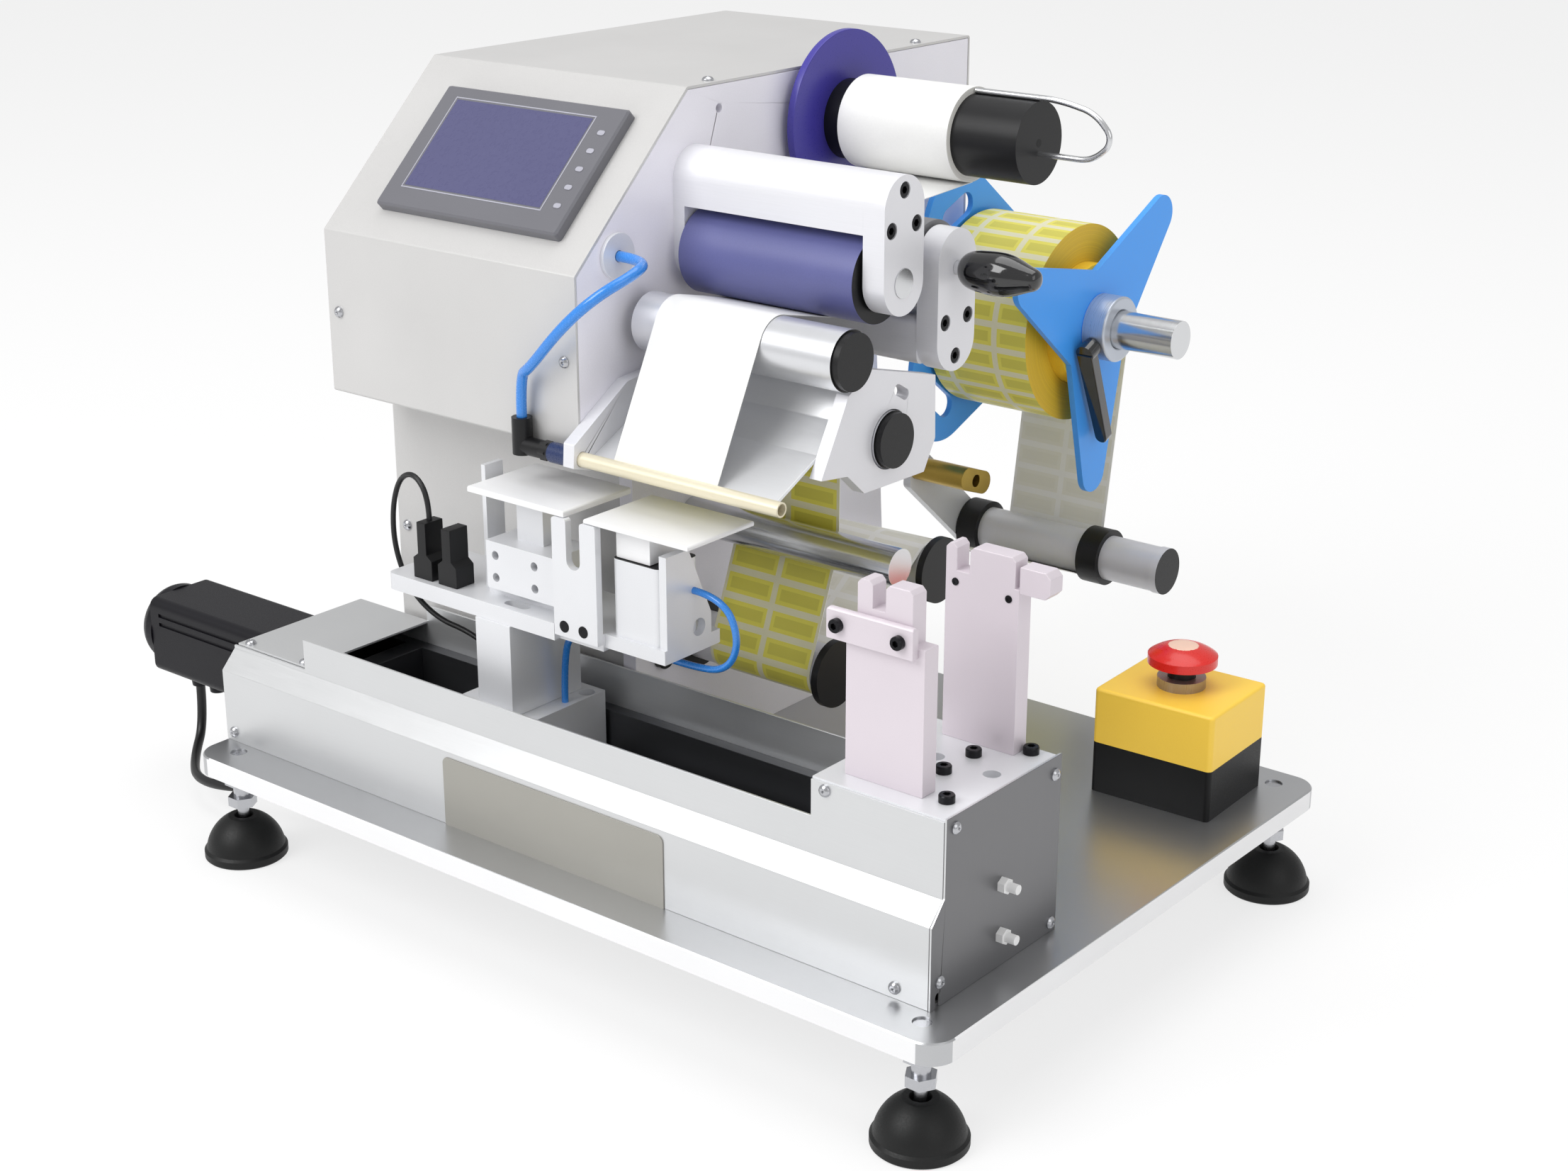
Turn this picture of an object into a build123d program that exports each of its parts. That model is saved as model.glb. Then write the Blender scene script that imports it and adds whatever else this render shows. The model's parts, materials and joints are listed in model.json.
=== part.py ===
"""Cable flag labelling machine: a bench machine that peels a label, carries it round a cable
and presses its wings into a flag.

Frame: X runs along the front from the motor to the cable posts, Y runs back, Z is up.
The origin is on the floor under the middle of the base plate. Lengths are in millimetres.
"""
from build123d import *
from math import asin, atan2, cos, degrees, hypot, pi, radians, sin, sqrt, tan
import os

os.makedirs("parts", exist_ok=True)

# Base plate and levelling feet
plate_length = 550.0
plate_depth = 386.0
plate_thickness = 12.2
plate_corner = 15.0
plate_clearance = 55.0
foot_inset_x = 21.5
foot_inset_y = 17.6
pad_radius = 25.0
pad_height = 26.0
pad_rim = 5.0
stem_radius = 5.0
ball_radius = 6.0
nut_across = 17.0
nut_height = 8.0
deck = plate_clearance + plate_thickness

# Fits between pieces
running_fit = 0.06
loose_fit = 0.3
seat_gap = 0.1
sheet = 1.5

# Linear module along the front
module_left = -273.0
module_right = 250.0
module_front = -154.0
module_back = -57.0
module_wall = 8.0
module_floor = 10.0
module_wall_height = 45.0
module_top_height = 57.8
screw_y = -108.0
screw_height = 30.3
screw_radius = 7.0
journal_radius = 5.0
bearing_wall = 14.0
rail_width = 12.0
rail_height = 10.0
rail_spacing = 52.0
coupling_radius = 11.0
coupling_length = 28.0
motor_plate = 10.0
cover_front = -166.0
cover_ledge_low = 45.0
cover_upper_height = 76.8
cover_upper_left = -211.0
end_block_left = 169.0
end_block_height = 97.8
end_block_deck = 15.0
end_block_leg = 12.0

# Motor
motor_side = 50.0
motor_length = 114.0
motor_cap_length = 18.0
motor_corner = 6.0
motor_shaft_radius = 4.0
gland_radius = 6.5
gland_length = 14.0

# Carriage with the folding unit
carriage_left = -112.0
carriage_length = 60.0
carriage_top = 57.8
carriage_travel = 214.0
stand_left = -91.0
stand_width = 27.0
stand_height = 55.0
stand_wall = 4.0
unit_front = -129.0
unit_back = -74.0
unit_plate_left = -163.0
unit_plate_right = 2.0
unit_plate_thickness = 10.0
slot_bracket_left = -30.0
slot_bracket_right = 2.0
slot_bracket_thickness = 4.5
slot_width = 10.0
slot_depth = 23.0
fold_gap_centre = -14.5
fold_gap = 14.5
left_fold_length = 73.0
right_fold_length = 73.5
fold_plate_thickness = 3.5
fold_plate_depth = 54.0
fold_above_unit = 62.2
fold_step = 1.0
left_block_left = -88.0
left_block_length = 52.0
cylinder_left = 6.0
cylinder_length = 34.0

# Cable posts on the end block
front_post_face = -131.0
rear_post_face = -72.0
post_thickness = 11.0
front_post_left = 180.0
front_post_width = 47.0
rear_post_left = 189.0
rear_post_width = 44.0
post_slot_width = 7.6
post_rise_over_slot = 14.0

# Column, cabinet and main plate
column_left = -238.0
column_front = -52.0
column_back = 185.0
cabinet_back = 267.9
cabinet_left = -238.0
cabinet_front = -95.9
cabinet_above_deck = 210.7
cabinet_slant_low = 97.0
cabinet_height = 186.3
cabinet_slant_back = 93.5
main_plate_thickness = 10.0
wall_face = -39.2
main_plate_front = -54.0
plate_neck_back = 175.0
panel_width = 142.0
panel_height = 86.0
panel_left = -203.8
panel_up_slant = 19.5
panel_proud = 6.5
screen_inset_left = 14.0
screen_width = 106.5
screen_inset_low = 15.0
screen_height = 61.5
grommet_radius = 10.7

# Label path: places of the rollers as (y, height above the cabinet's underside)
roller_radius = 24.2
pressure_radius = 23.9
drive_y = 2.2
nip_height = 97.0
guide_radius = 16.6
upper_guide_y = -44.5
upper_guide_height = 64.7
lower_guide_radius = 15.9
lower_guide_y = -6.9
lower_guide_height = 13.7
bar_radius = 10.7
bar_y = -2.5
bar_height = -59.4
flanged_radius = 14.5
flange_radius = 19.9
front_flanged_y = -2.5
front_flanged_height = -132.5
rear_flanged_y = 96.4
rear_flanged_height = -98.1
idler_radius = 14.5
collar_radius = 18.3
collar_width = 15.0
idler_y = 275.9
idler_height = -137.9
spindle_radius = 5.0
web_left = -13.5
web_width = 73.0
web_thickness = 0.4
guide_plate_inner = 97.2
guide_plate_thickness = 8.0
bracket_inner = 91.9
bracket_thickness = 14.0
peel_sheet = 2.0
air_tube_y = -102.0
air_tube_height = -1.2
air_tube_radius = 4.1
air_tube_wall = 1.0
hose_radius = 3.0
fitting_radius = 5.8

# Label reel and liner rewind
reel_y = 253.2
reel_height = 20.1
reel_roll_radius = 61.3
reel_core_radius = 38.0
reel_shaft_radius = 11.8
reel_journal = 8.0
reel_shaft_end = 131.2
reel_flange_thickness = 4.0
inner_flange_left = -21.0
outer_flange_left = 69.3
hub_radius = 20.4
hub_length = 16.0
rewind_y = 129.7
rewind_height = 153.2
rewind_flange_radius = 51.6
rewind_core_radius = 23.3
liner_roll_radius = 26.9
core_end = 104.5
clip_radius = 1.7

# Emergency stop box
estop_x = 211.0
estop_y = 135.0
estop_turn = 2.0
estop_length = 76.0
estop_depth = 66.0
estop_base_height = 30.8
estop_cover_height = 33.2
button_radius = 20.0
button_travel = 4.0
collar_height = 6.0

# Heights and places worked out from the sizes above
cabinet_bottom = deck + cabinet_above_deck
cabinet_top = cabinet_bottom + cabinet_height
plate_x = wall_face - main_plate_thickness
nip_z = cabinet_bottom + nip_height
nip_gap = web_thickness + 2 * loose_fit + seat_gap
pressure_y = drive_y + roller_radius + nip_gap + pressure_radius
screw_z = deck + screw_height
rail_top = deck + module_floor + rail_height
carriage_z = deck + carriage_top
unit_z = carriage_z + stand_height
unit_top = unit_z + unit_plate_thickness
fold_z = unit_top + fold_above_unit
cable_z = fold_z + fold_plate_thickness
end_block_z = deck + end_block_height
post_slot_x = fold_gap_centre + carriage_travel
reel_z = cabinet_bottom + reel_height
rewind_z = cabinet_bottom + rewind_height
idler_z = cabinet_bottom + idler_height
web_right = web_left + web_width


def at_x(x):
    """Plane across X, its own axes along Y and Z."""
    return Plane.YZ.offset(x)


def at_y(y):
    """Plane across Y, its own axes along X and Z; it faces the front."""
    return Plane.XZ.offset(-y)


def at_z(z):
    """Level plane."""
    return Plane.XY.offset(z)


def between(left, low, right, high, mode=Mode.ADD):
    """Rectangle between two corners of the sketch in hand."""
    with Locations(((left + right) / 2, (low + high) / 2)):
        Rectangle(right - left, high - low, mode=mode)


def turned(y, z, steps, bore=0.0):
    """Piece turned about an axis along X; steps are (from x, to x, radius)."""
    with BuildPart() as piece:
        with BuildSketch(Plane(origin=(0, y, z), x_dir=(1, 0, 0), z_dir=(0, -1, 0))):
            for left, right, radius in steps:
                between(left, bore, right, radius)
        revolve(axis=Axis((0, y, z), (1, 0, 0)))
    return piece


def group(label, *pieces):
    """Several separate solids that share one node."""
    solids = []
    for piece in pieces:
        solids.extend(piece.part.solids())
    return Compound(label=label, children=solids)


def screw_heads(places, normal, radius, height, socket):
    """Cylinder heads with a hexagon socket, standing on a face along its normal."""
    with BuildPart() as heads:
        for place in places:
            face = Plane(origin=place, z_dir=normal)
            with BuildSketch(face):
                Circle(radius)
            extrude(amount=height)
            with BuildSketch(face.offset(height)):
                RegularPolygon(socket, 6)
            extrude(amount=-height * 0.6, mode=Mode.SUBTRACT)
    return heads


def arc_radii(points):
    """Radius for each corner of a cord's route, as large as its two runs allow."""
    radii = []
    for before, here, after in zip(points, points[1:], points[2:]):
        into = Vector(*here) - Vector(*before)
        out = Vector(*after) - Vector(*here)
        half_turn = radians(into.get_angle(out)) / 2
        radii.append(0.45 * min(into.length, out.length) / tan(half_turn))
    return radii


def cord(name, points, radius):
    """Plain tube along straight runs joined by tangent arcs."""
    radii = arc_radii(points)
    print(name, "arc radii", [round(value, 1) for value in radii])
    with BuildPart() as tube:
        with BuildLine() as route:
            FilletPolyline(*points, radius=radii)
        with BuildSketch(Plane(origin=route.line @ 0, z_dir=route.line % 0)):
            Circle(radius)
        sweep()
    return tube


# Base plate
foot_places = [
    (side_x * (plate_length / 2 - foot_inset_x), side_y * (plate_depth / 2 - foot_inset_y))
    for side_y in (-1, 1)
    for side_x in (-1, 1)
]
cable_hole = (-200.0, -20.0)
with BuildPart() as base_plate:
    with BuildSketch(at_z(plate_clearance)):
        RectangleRounded(plate_length, plate_depth, plate_corner)
    extrude(amount=plate_thickness)
    chamfer(base_plate.faces().sort_by(Axis.Z)[-1].edges(), 0.8)
    with Locations(*[(x, y, deck) for x, y in foot_places]):
        Hole(stem_radius + seat_gap)
    with Locations((cable_hole[0], cable_hole[1], deck)):
        Hole(9.0)

# Levelling feet: a stem with its two nuts, on a pad that swivels on the stem's ball
ball_z = 12.0
with BuildPart() as foot_stems:
    for x, y in foot_places:
        with BuildSketch(Plane(origin=(x, y, 0), x_dir=(1, 0, 0), z_dir=(0, -1, 0))):
            between(0, pad_height + 6, stem_radius, deck - 1)
            between(0, ball_z, stem_radius - 1.5, pad_height + 6)
            with Locations((0, ball_z)):
                Circle(ball_radius)
            between(-ball_radius - 1, 0, 0, deck, mode=Mode.SUBTRACT)
        revolve(axis=Axis((x, y, 0), (0, 0, 1)))
        with BuildSketch(Plane(origin=(x, y, plate_clearance))):
            RegularPolygon(nut_across / 2, 6, major_radius=False)
        extrude(amount=-nut_height)
        with BuildSketch(Plane(origin=(x, y, pad_height + 7))):
            RegularPolygon(nut_across / 2 - 1, 6, major_radius=False)
        extrude(amount=nut_height - 2)


def foot_pad(x, y):
    """Domed pad with a ball socket and a rubber sole edge."""
    socket = ball_radius + running_fit
    mouth = stem_radius + 0.8
    with BuildPart() as pad:
        with BuildSketch(Plane(origin=(x, y, 0), x_dir=(1, 0, 0), z_dir=(0, -1, 0))):
            with BuildLine():
                Line((0, 0), (pad_radius - 1, 0))
                Line((pad_radius - 1, 0), (pad_radius, 1))
                Line((pad_radius, 1), (pad_radius, pad_rim))
                Line((pad_radius, pad_rim), (pad_radius - 1.5, pad_rim + 1.5))
                RadiusArc((pad_radius - 1.5, pad_rim + 1.5), (9, pad_height), -26)
                Line((9, pad_height), (0, pad_height))
                Line((0, pad_height), (0, 0))
            make_face()
            between(0, ball_z, mouth - 0.8, pad_height, mode=Mode.SUBTRACT)
            with Locations((0, ball_z)):
                Circle(socket, mode=Mode.SUBTRACT)
            between(-pad_radius, 0, 0, pad_height, mode=Mode.SUBTRACT)
        revolve(axis=Axis((x, y, 0), (0, 0, 1)))
        with BuildSketch(at_z(pad_height)):
            with Locations((x, y)):
                Circle(mouth)
        extrude(amount=-6, taper=20, mode=Mode.SUBTRACT)
    return pad


foot_names = ("foot_pad_front_left", "foot_pad_front_right", "foot_pad_back_left", "foot_pad_back_right")
foot_pads = {name: foot_pad(x, y) for name, (x, y) in zip(foot_names, foot_places)}

# Linear module: open channel with bearing walls for the ball screw
screw_left = module_left + motor_plate + coupling_length + 13
screw_wall_left = screw_left + bearing_wall
wall_top = deck + module_wall_height
with BuildPart() as module_channel:
    with BuildSketch(at_x(module_left)):
        between(module_front, deck, module_back, wall_top)
        between(module_front + module_wall, deck + module_floor, module_back - module_wall, wall_top,
                mode=Mode.SUBTRACT)
        with Locations((module_front, deck + 12), (module_front, deck + 30),
                       (module_back, deck + 12), (module_back, deck + 30)):
            Rectangle(5, 6, mode=Mode.SUBTRACT)
    extrude(amount=module_right - module_left)
    inner_front = module_front + module_wall
    inner_back = module_back - module_wall
    for wall_left, wall_right, wall_high in (
        (module_left, module_left + motor_plate, module_top_height - sheet),
        (screw_left, screw_wall_left, module_wall_height),
        (module_right - bearing_wall, module_right, module_wall_height),
    ):
        with BuildSketch(at_x(wall_left)):
            between(inner_front, deck + module_floor, inner_back, deck + wall_high)
        extrude(amount=wall_right - wall_left)
    with BuildSketch(at_x(screw_left)):
        with Locations((screw_y, screw_z)):
            Circle(journal_radius + running_fit)
    extrude(amount=module_right - screw_left, mode=Mode.SUBTRACT)
    with BuildSketch(at_x(module_left)):
        with Locations((screw_y, screw_z)):
            Circle(motor_shaft_radius + 4)
    extrude(amount=motor_plate, mode=Mode.SUBTRACT)

rail_left = screw_wall_left + 2
rail_right = module_right - bearing_wall - 2
with BuildPart() as guide_rails:
    with BuildSketch(at_x(rail_left)):
        for side in (-1, 1):
            middle = screw_y + side * rail_spacing / 2
            between(middle - rail_width / 2, deck + module_floor, middle + rail_width / 2, rail_top)
            for edge in (-1, 1):
                with Locations((middle + edge * rail_width / 2, rail_top - 4)):
                    RegularPolygon(2, 4, rotation=0, mode=Mode.SUBTRACT)
    extrude(amount=rail_right - rail_left)

screw_end = module_right - 3
ball_screw = turned(screw_y, screw_z, [
    (module_left - 12, module_left + motor_plate + 4, motor_shaft_radius),
    (module_left + motor_plate + 4, module_left + motor_plate + 4 + coupling_length, coupling_radius),
    (module_left + motor_plate + 4 + coupling_length, screw_wall_left + 4, journal_radius),
    (screw_wall_left + 4, module_right - bearing_wall - 4, screw_radius),
    (module_right - bearing_wall - 4, screw_end, journal_radius),
])
with BuildPart() as coupled_screw:
    add(ball_screw.part)
    coupling_middle = module_left + motor_plate + 4 + coupling_length / 2
    for shift in (-7, -2.3, 2.3, 7):
        with BuildSketch(at_x(coupling_middle + shift - 0.7)):
            with Locations((screw_y, screw_z)):
                Circle(coupling_radius + 1)
                Circle(coupling_radius - 5, mode=Mode.SUBTRACT)
        extrude(amount=1.4, mode=Mode.SUBTRACT)

# Carriage block on both rails, with the ball nut in its middle
carriage_right = carriage_left + carriage_length
with BuildPart() as carriage_block:
    with BuildSketch(at_x(carriage_left)):
        between(inner_front + 2, deck + module_floor + 3, inner_back - 2, carriage_z)
        for side in (-1, 1):
            middle = screw_y + side * rail_spacing / 2
            between(middle - rail_width / 2 - seat_gap, deck, middle + rail_width / 2 + seat_gap,
                    rail_top + seat_gap, mode=Mode.SUBTRACT)
        with Locations((screw_y, screw_z)):
            Circle(screw_radius + 0.08, mode=Mode.SUBTRACT)
        between(screw_y - 9, deck, screw_y + 9, rail_top - 4, mode=Mode.SUBTRACT)
    extrude(amount=carriage_length)
    with BuildSketch(at_x(carriage_right)):
        with Locations((screw_y, screw_z)):
            Circle(13)
            Circle(screw_radius + 0.08, mode=Mode.SUBTRACT)
    extrude(amount=10)
    with Locations(*[(carriage_left + carriage_length / 2 + x, screw_y + y, carriage_z)
                     for x in (-24, 24) for y in (-32, 32)]):
        CounterBoreHole(2.6, 4.8, 5, depth=14)

# Folded front cover: foot flange, front, sloping ledge and upper wall
ledge_low = deck + cover_ledge_low
ledge_high = ledge_low + 12
upper_face = module_front - sheet
upper_top = deck + cover_upper_height
with BuildPart() as module_cover:
    with BuildSketch(at_x(module_left - 2)):
        with BuildLine():
            Polyline((module_front - 2, deck), (cover_front, deck), (cover_front, ledge_low),
                     (upper_face, ledge_high - 1), (upper_face, upper_top), (module_front, upper_top),
                     (module_front, ledge_high - 2), (cover_front + sheet, ledge_low - 0.6),
                     (cover_front + sheet, deck + sheet), (module_front - 2, deck + sheet), close=True)
        make_face()
    extrude(amount=module_right - module_left + 2)
    front_wall_top = ledge_high + 1
    with BuildSketch(at_x(module_left - 3)):
        between(upper_face - 1, front_wall_top, module_front + 1, upper_top + 1)
    extrude(amount=cover_upper_left - module_left + 3, mode=Mode.SUBTRACT)
    with BuildSketch(at_x(end_block_left)):
        between(upper_face, upper_top, module_front, end_block_z - 1)
    extrude(amount=module_right - end_block_left)

# Rear cover: rear wall, left top and right end plate in one folded sheet
rear_face = module_back + sheet
with BuildPart() as rear_cover:
    with BuildSketch(at_x(module_left)):
        between(module_back, deck, rear_face, deck + module_top_height + sheet)
    extrude(amount=module_right - module_left)
    with BuildSketch(at_x(cover_upper_left)):
        between(module_back, deck, rear_face, deck + 70)
    extrude(amount=module_right - cover_upper_left)
    with BuildSketch(at_x(module_left)):
        between(module_front + seat_gap, deck + module_top_height, rear_face, deck + module_top_height + sheet)
    extrude(amount=cover_upper_left - module_left)
    with BuildSketch(at_x(module_right)):
        with BuildLine():
            Polyline((cover_front, deck), (cover_front, ledge_low), (upper_face, ledge_high),
                     (upper_face, end_block_z + 1), (rear_face, end_block_z + 1), (rear_face, deck), close=True)
        make_face()
        with Locations((cover_front + 6, deck)):
            SlotOverall(16, 4.2, rotation=90, mode=Mode.SUBTRACT)
    extrude(amount=sheet)

end_block_holes = [(203, -97), (237, -97)]
end_block_screws = [(217, -110), (217, -84), (238, -63.5), (238, -137)]
# End block that carries the cable posts: a bridge on the channel's two walls
with BuildPart() as end_block:
    with BuildSketch(at_x(end_block_left)):
        between(module_front, wall_top, module_back, end_block_z)
        between(module_front + end_block_leg, wall_top - 1, module_back - end_block_leg,
                end_block_z - end_block_deck, mode=Mode.SUBTRACT)
    extrude(amount=module_right - end_block_left)
    with Locations(*[(x, y, end_block_z) for x, y in end_block_holes]):
        CounterBoreHole(2.6, 4.6, 4.5, depth=12)

# Drive motor: finned square body, round rear cap and two cable glands
motor_face = module_left
motor_rear = motor_face - motor_length
with BuildPart() as motor_body:
    with BuildSketch(at_x(motor_rear)):
        with Locations((screw_y, screw_z)):
            RectangleRounded(motor_side, motor_side, motor_corner)
            Circle(motor_shaft_radius + 1, mode=Mode.SUBTRACT)
    extrude(amount=motor_length)
    with BuildSketch(at_x(motor_rear + 8)):
        for side in (-1, 1):
            for level in (-3, 3):
                with Locations((screw_y + side * motor_side / 2, screw_z + 12 + level)):
                    Rectangle(2.4, 2.4, mode=Mode.ADD)
    extrude(amount=motor_length - 24, mode=Mode.SUBTRACT)
with BuildPart() as motor_cap:
    with BuildSketch(Plane(origin=(0, screw_y, screw_z), x_dir=(1, 0, 0), z_dir=(0, -1, 0))):
        with BuildLine():
            Line((motor_rear, 0), (motor_rear, motor_side / 2 + 1))
            Line((motor_rear, motor_side / 2 + 1), (motor_rear - 5, motor_side / 2 + 1))
            RadiusArc((motor_rear - 5, motor_side / 2 + 1), (motor_rear - motor_cap_length, 12), -17)
            Line((motor_rear - motor_cap_length, 12), (motor_rear - motor_cap_length, 0))
            Line((motor_rear - motor_cap_length, 0), (motor_rear, 0))
        make_face()
    revolve(axis=Axis((0, screw_y, screw_z), (1, 0, 0)))
gland_x = motor_rear + 12
gland_top = screw_z - motor_side / 2
gland_end = gland_top - gland_length
with BuildPart() as motor_glands:
    with BuildSketch(at_z(gland_top)):
        with Locations((gland_x, screw_y), (gland_x + 18, screw_y)):
            Circle(gland_radius)
    extrude(amount=-gland_length, taper=6)

# Motor lead from its gland down and under the base plate to a grommet
lead_radius = 3.0
lead_points = [
    (gland_x, screw_y, gland_end), (gland_x, screw_y, gland_end - 27.5), (gland_x + 16, screw_y - 22, gland_end - 41),
    (gland_x + 46, screw_y - 44, gland_end - 40), (gland_x + 87, screw_y - 44, gland_end - 34),
    (gland_x + 119, screw_y - 20, gland_end - 30), (gland_x + 149, screw_y + 22, gland_end - 33),
    (cable_hole[0] - 7, cable_hole[1] - 22, gland_end - 32), (*cable_hole, plate_clearance - 15),
    (*cable_hole, plate_clearance + 8),
]
motor_lead = cord("motor lead", lead_points, lead_radius)

# Stand of the folding unit: hollow post and mounting plate
with BuildPart() as stand_post:
    with BuildSketch(at_z(carriage_z)):
        between(stand_left, unit_front - 1, stand_left + stand_width, unit_back)
        between(stand_left + stand_wall, unit_front - 1 + stand_wall, stand_left + stand_width - stand_wall,
                unit_back - stand_wall, mode=Mode.SUBTRACT)
    extrude(amount=stand_height)
with BuildPart() as unit_plate:
    with BuildSketch(at_z(unit_z)):
        between(unit_plate_left, unit_front, unit_plate_right, unit_back)
        between(slot_bracket_left - loose_fit, unit_front, unit_plate_right, unit_front + slot_bracket_thickness,
                mode=Mode.SUBTRACT)
        with Locations((-66, unit_front + 8)):
            SlotOverall(18, 6.5, mode=Mode.SUBTRACT)
    extrude(amount=unit_plate_thickness)
    fillet(unit_plate.edges().filter_by(Axis.Z).sort_by(Axis.X)[:2], 4)
    with BuildSketch(at_z(unit_top)):
        between(left_block_left - 6, unit_front + 14, left_block_left + left_block_length + 6, unit_front + 29)
    extrude(amount=6)

# Slotted bracket in front of the fold gap
with BuildPart() as slotted_bracket:
    with BuildSketch(at_y(unit_front)):
        between(slot_bracket_left, unit_z + 4, slot_bracket_right, fold_z - loose_fit)
        with Locations((fold_gap_centre, fold_z - slot_depth)):
            Circle(slot_width / 2, mode=Mode.SUBTRACT)
        between(fold_gap_centre - slot_width / 2, fold_z - slot_depth, fold_gap_centre + slot_width / 2,
                fold_z + 1, mode=Mode.SUBTRACT)
    extrude(amount=-slot_bracket_thickness)
    fillet(slotted_bracket.edges().filter_by(Axis.Y).group_by(Axis.Z)[-1], 2)

# Left jaw: sliding block with its neck, and the fold plate on top
rail_seat = unit_top + 6 + seat_gap
block_top = unit_top + 34
left_edge = fold_gap_centre - fold_gap / 2
fold_front = unit_front + 1
with BuildPart() as left_slide:
    with BuildSketch(at_y(unit_front + 7)):
        between(left_block_left, rail_seat, left_block_left + left_block_length, block_top)
        with Locations(*[(left_block_left + 7 + column * 30, rail_seat + 7 + row * 13)
                         for column in (0, 1) for row in (0, 1)]):
            Circle(2.6, mode=Mode.SUBTRACT)
    extrude(amount=-30)
    with BuildSketch(at_z(block_top)):
        between(left_block_left + 14, unit_front + 18, left_block_left + 34, unit_front + 30)
    extrude(amount=fold_z - block_top)
    fillet(left_slide.edges().filter_by(Axis.Y).group_by(Axis.Z)[0], 1.5)
with BuildPart() as left_fold_plate:
    with BuildSketch(at_z(fold_z)):
        between(left_edge - left_fold_length, fold_front, left_edge, fold_front + fold_plate_depth)
    extrude(amount=fold_plate_thickness)
    chamfer(left_fold_plate.edges().filter_by(Axis.Y).group_by(Axis.Z)[-1], 0.8)

# Right jaw: compact cylinder on the mounting plate and the carried fold plate
right_edge = fold_gap_centre + fold_gap / 2
cylinder_top = unit_top + 44
with BuildPart() as right_cylinder:
    with BuildSketch(at_z(unit_z + 2)):
        between(unit_plate_right, unit_front + 6, cylinder_left + cylinder_length + 5, unit_back - 4)
    extrude(amount=unit_plate_thickness - 2)
    with BuildSketch(at_z(unit_top)):
        with Locations((cylinder_left + cylinder_length / 2, unit_front + 6 + 18)):
            RectangleRounded(cylinder_length, 32, 4)
    extrude(amount=cylinder_top - unit_top)
    with BuildSketch(at_y(unit_front + 8)):
        for level in (10, 24, 38):
            between(cylinder_left - 1, unit_top + level, cylinder_left + cylinder_length + 1, unit_top + level + 2)
    extrude(amount=2.5, mode=Mode.SUBTRACT)
    with BuildSketch(at_x(cylinder_left + cylinder_length)):
        with BuildLine():
            Polyline((unit_front + 8, unit_z + 2), (unit_front + 8, cylinder_top + 8), (unit_front + 26, cylinder_top + 8),
                     (unit_front + 44, unit_top + 12), (unit_front + 44, unit_z + 2), close=True)
        make_face()
        with Locations((unit_front + 34, unit_top + 6)):
            Circle(5, mode=Mode.SUBTRACT)
    extrude(amount=5)
with BuildPart() as right_fold_plate:
    with BuildSketch(at_z(fold_z)):
        between(right_edge, fold_front, right_edge + right_fold_length, fold_front + fold_plate_depth)
    extrude(amount=fold_plate_thickness - fold_step)
    chamfer(right_fold_plate.edges().filter_by(Axis.Y).group_by(Axis.Z)[-1], 0.8)
    with BuildSketch(at_z(fold_z)):
        between(cylinder_left + 2, unit_front + 10, cylinder_left + cylinder_length - 8, unit_front + 34)
    extrude(amount=cylinder_top + loose_fit - fold_z)

# Position sensors and their leads
sensor_left = unit_plate_left + 18
with BuildPart() as position_sensors:
    for shift in (0, 20):
        with BuildSketch(at_y(unit_front + 4)):
            with BuildLine():
                left = sensor_left + shift
                Polyline((left, unit_top), (left + 15, unit_top), (left + 15, unit_top + 12), (left + 11, unit_top + 15),
                         (left + 11, unit_top + 34), (left + 4, unit_top + 34), (left + 4, unit_top + 15),
                         (left, unit_top + 12), close=True)
            make_face()
        extrude(amount=-14)
    stop_left = left_edge - left_fold_length - 8
    with BuildSketch(at_x(stop_left)):
        between(unit_front + 20, unit_top, unit_front + 34, cable_z + 6)
    extrude(amount=3)
    with BuildSketch(at_x(stop_left)):
        with Locations((unit_front + 27, cable_z + 1)):
            Circle(3.2)
    extrude(amount=-4)

start_x, start_y, start_z = (sensor_left + 7.5, unit_front + 11, unit_top + 34)
sensor_points = [
    (start_x, start_y, start_z), (start_x, start_y, start_z + 14), (start_x - 12.5, start_y + 2, start_z + 25),
    (start_x - 28.5, start_y + 5, start_z + 19), (start_x - 38.5, start_y + 7, start_z - 2),
    (start_x - 39.5, start_y + 8, start_z - 28), (start_x - 30.5, start_y + 10, start_z - 52),
    (start_x - 10.5, start_y + 12, start_z - 66), (start_x + 13.5, start_y + 14, start_z - 69),
    (carriage_left + 8, start_y + 16, carriage_z + 21), (carriage_left + 8, start_y + 16, carriage_z),
]
sensor_lead = cord("sensor lead", sensor_points, 1.6)

# Air line from the cylinder under the mounting plate to the carriage
line_x = cylinder_left + cylinder_length + 5
line_y = unit_front + 30
under_z = unit_z - 8
line_points = [
    (line_x, line_y, unit_top + 28), (line_x + 21, line_y, unit_top + 28), (line_x + 31, line_y + 1, unit_top + 6),
    (line_x + 21, line_y + 2, under_z + 4), (line_x - 5, line_y + 3, under_z), (line_x - 55, line_y + 4, under_z + 1),
    (carriage_right, line_y + 5, under_z - 1), (carriage_right - 6, line_y + 5, carriage_z + 23),
    (carriage_right - 6, line_y + 5, carriage_z),
]
air_lines = cord("air lines", line_points, 2.0)

# Cable posts: upright plates with a slotted guide on top
prong_top = cable_z + post_rise_over_slot


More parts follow.
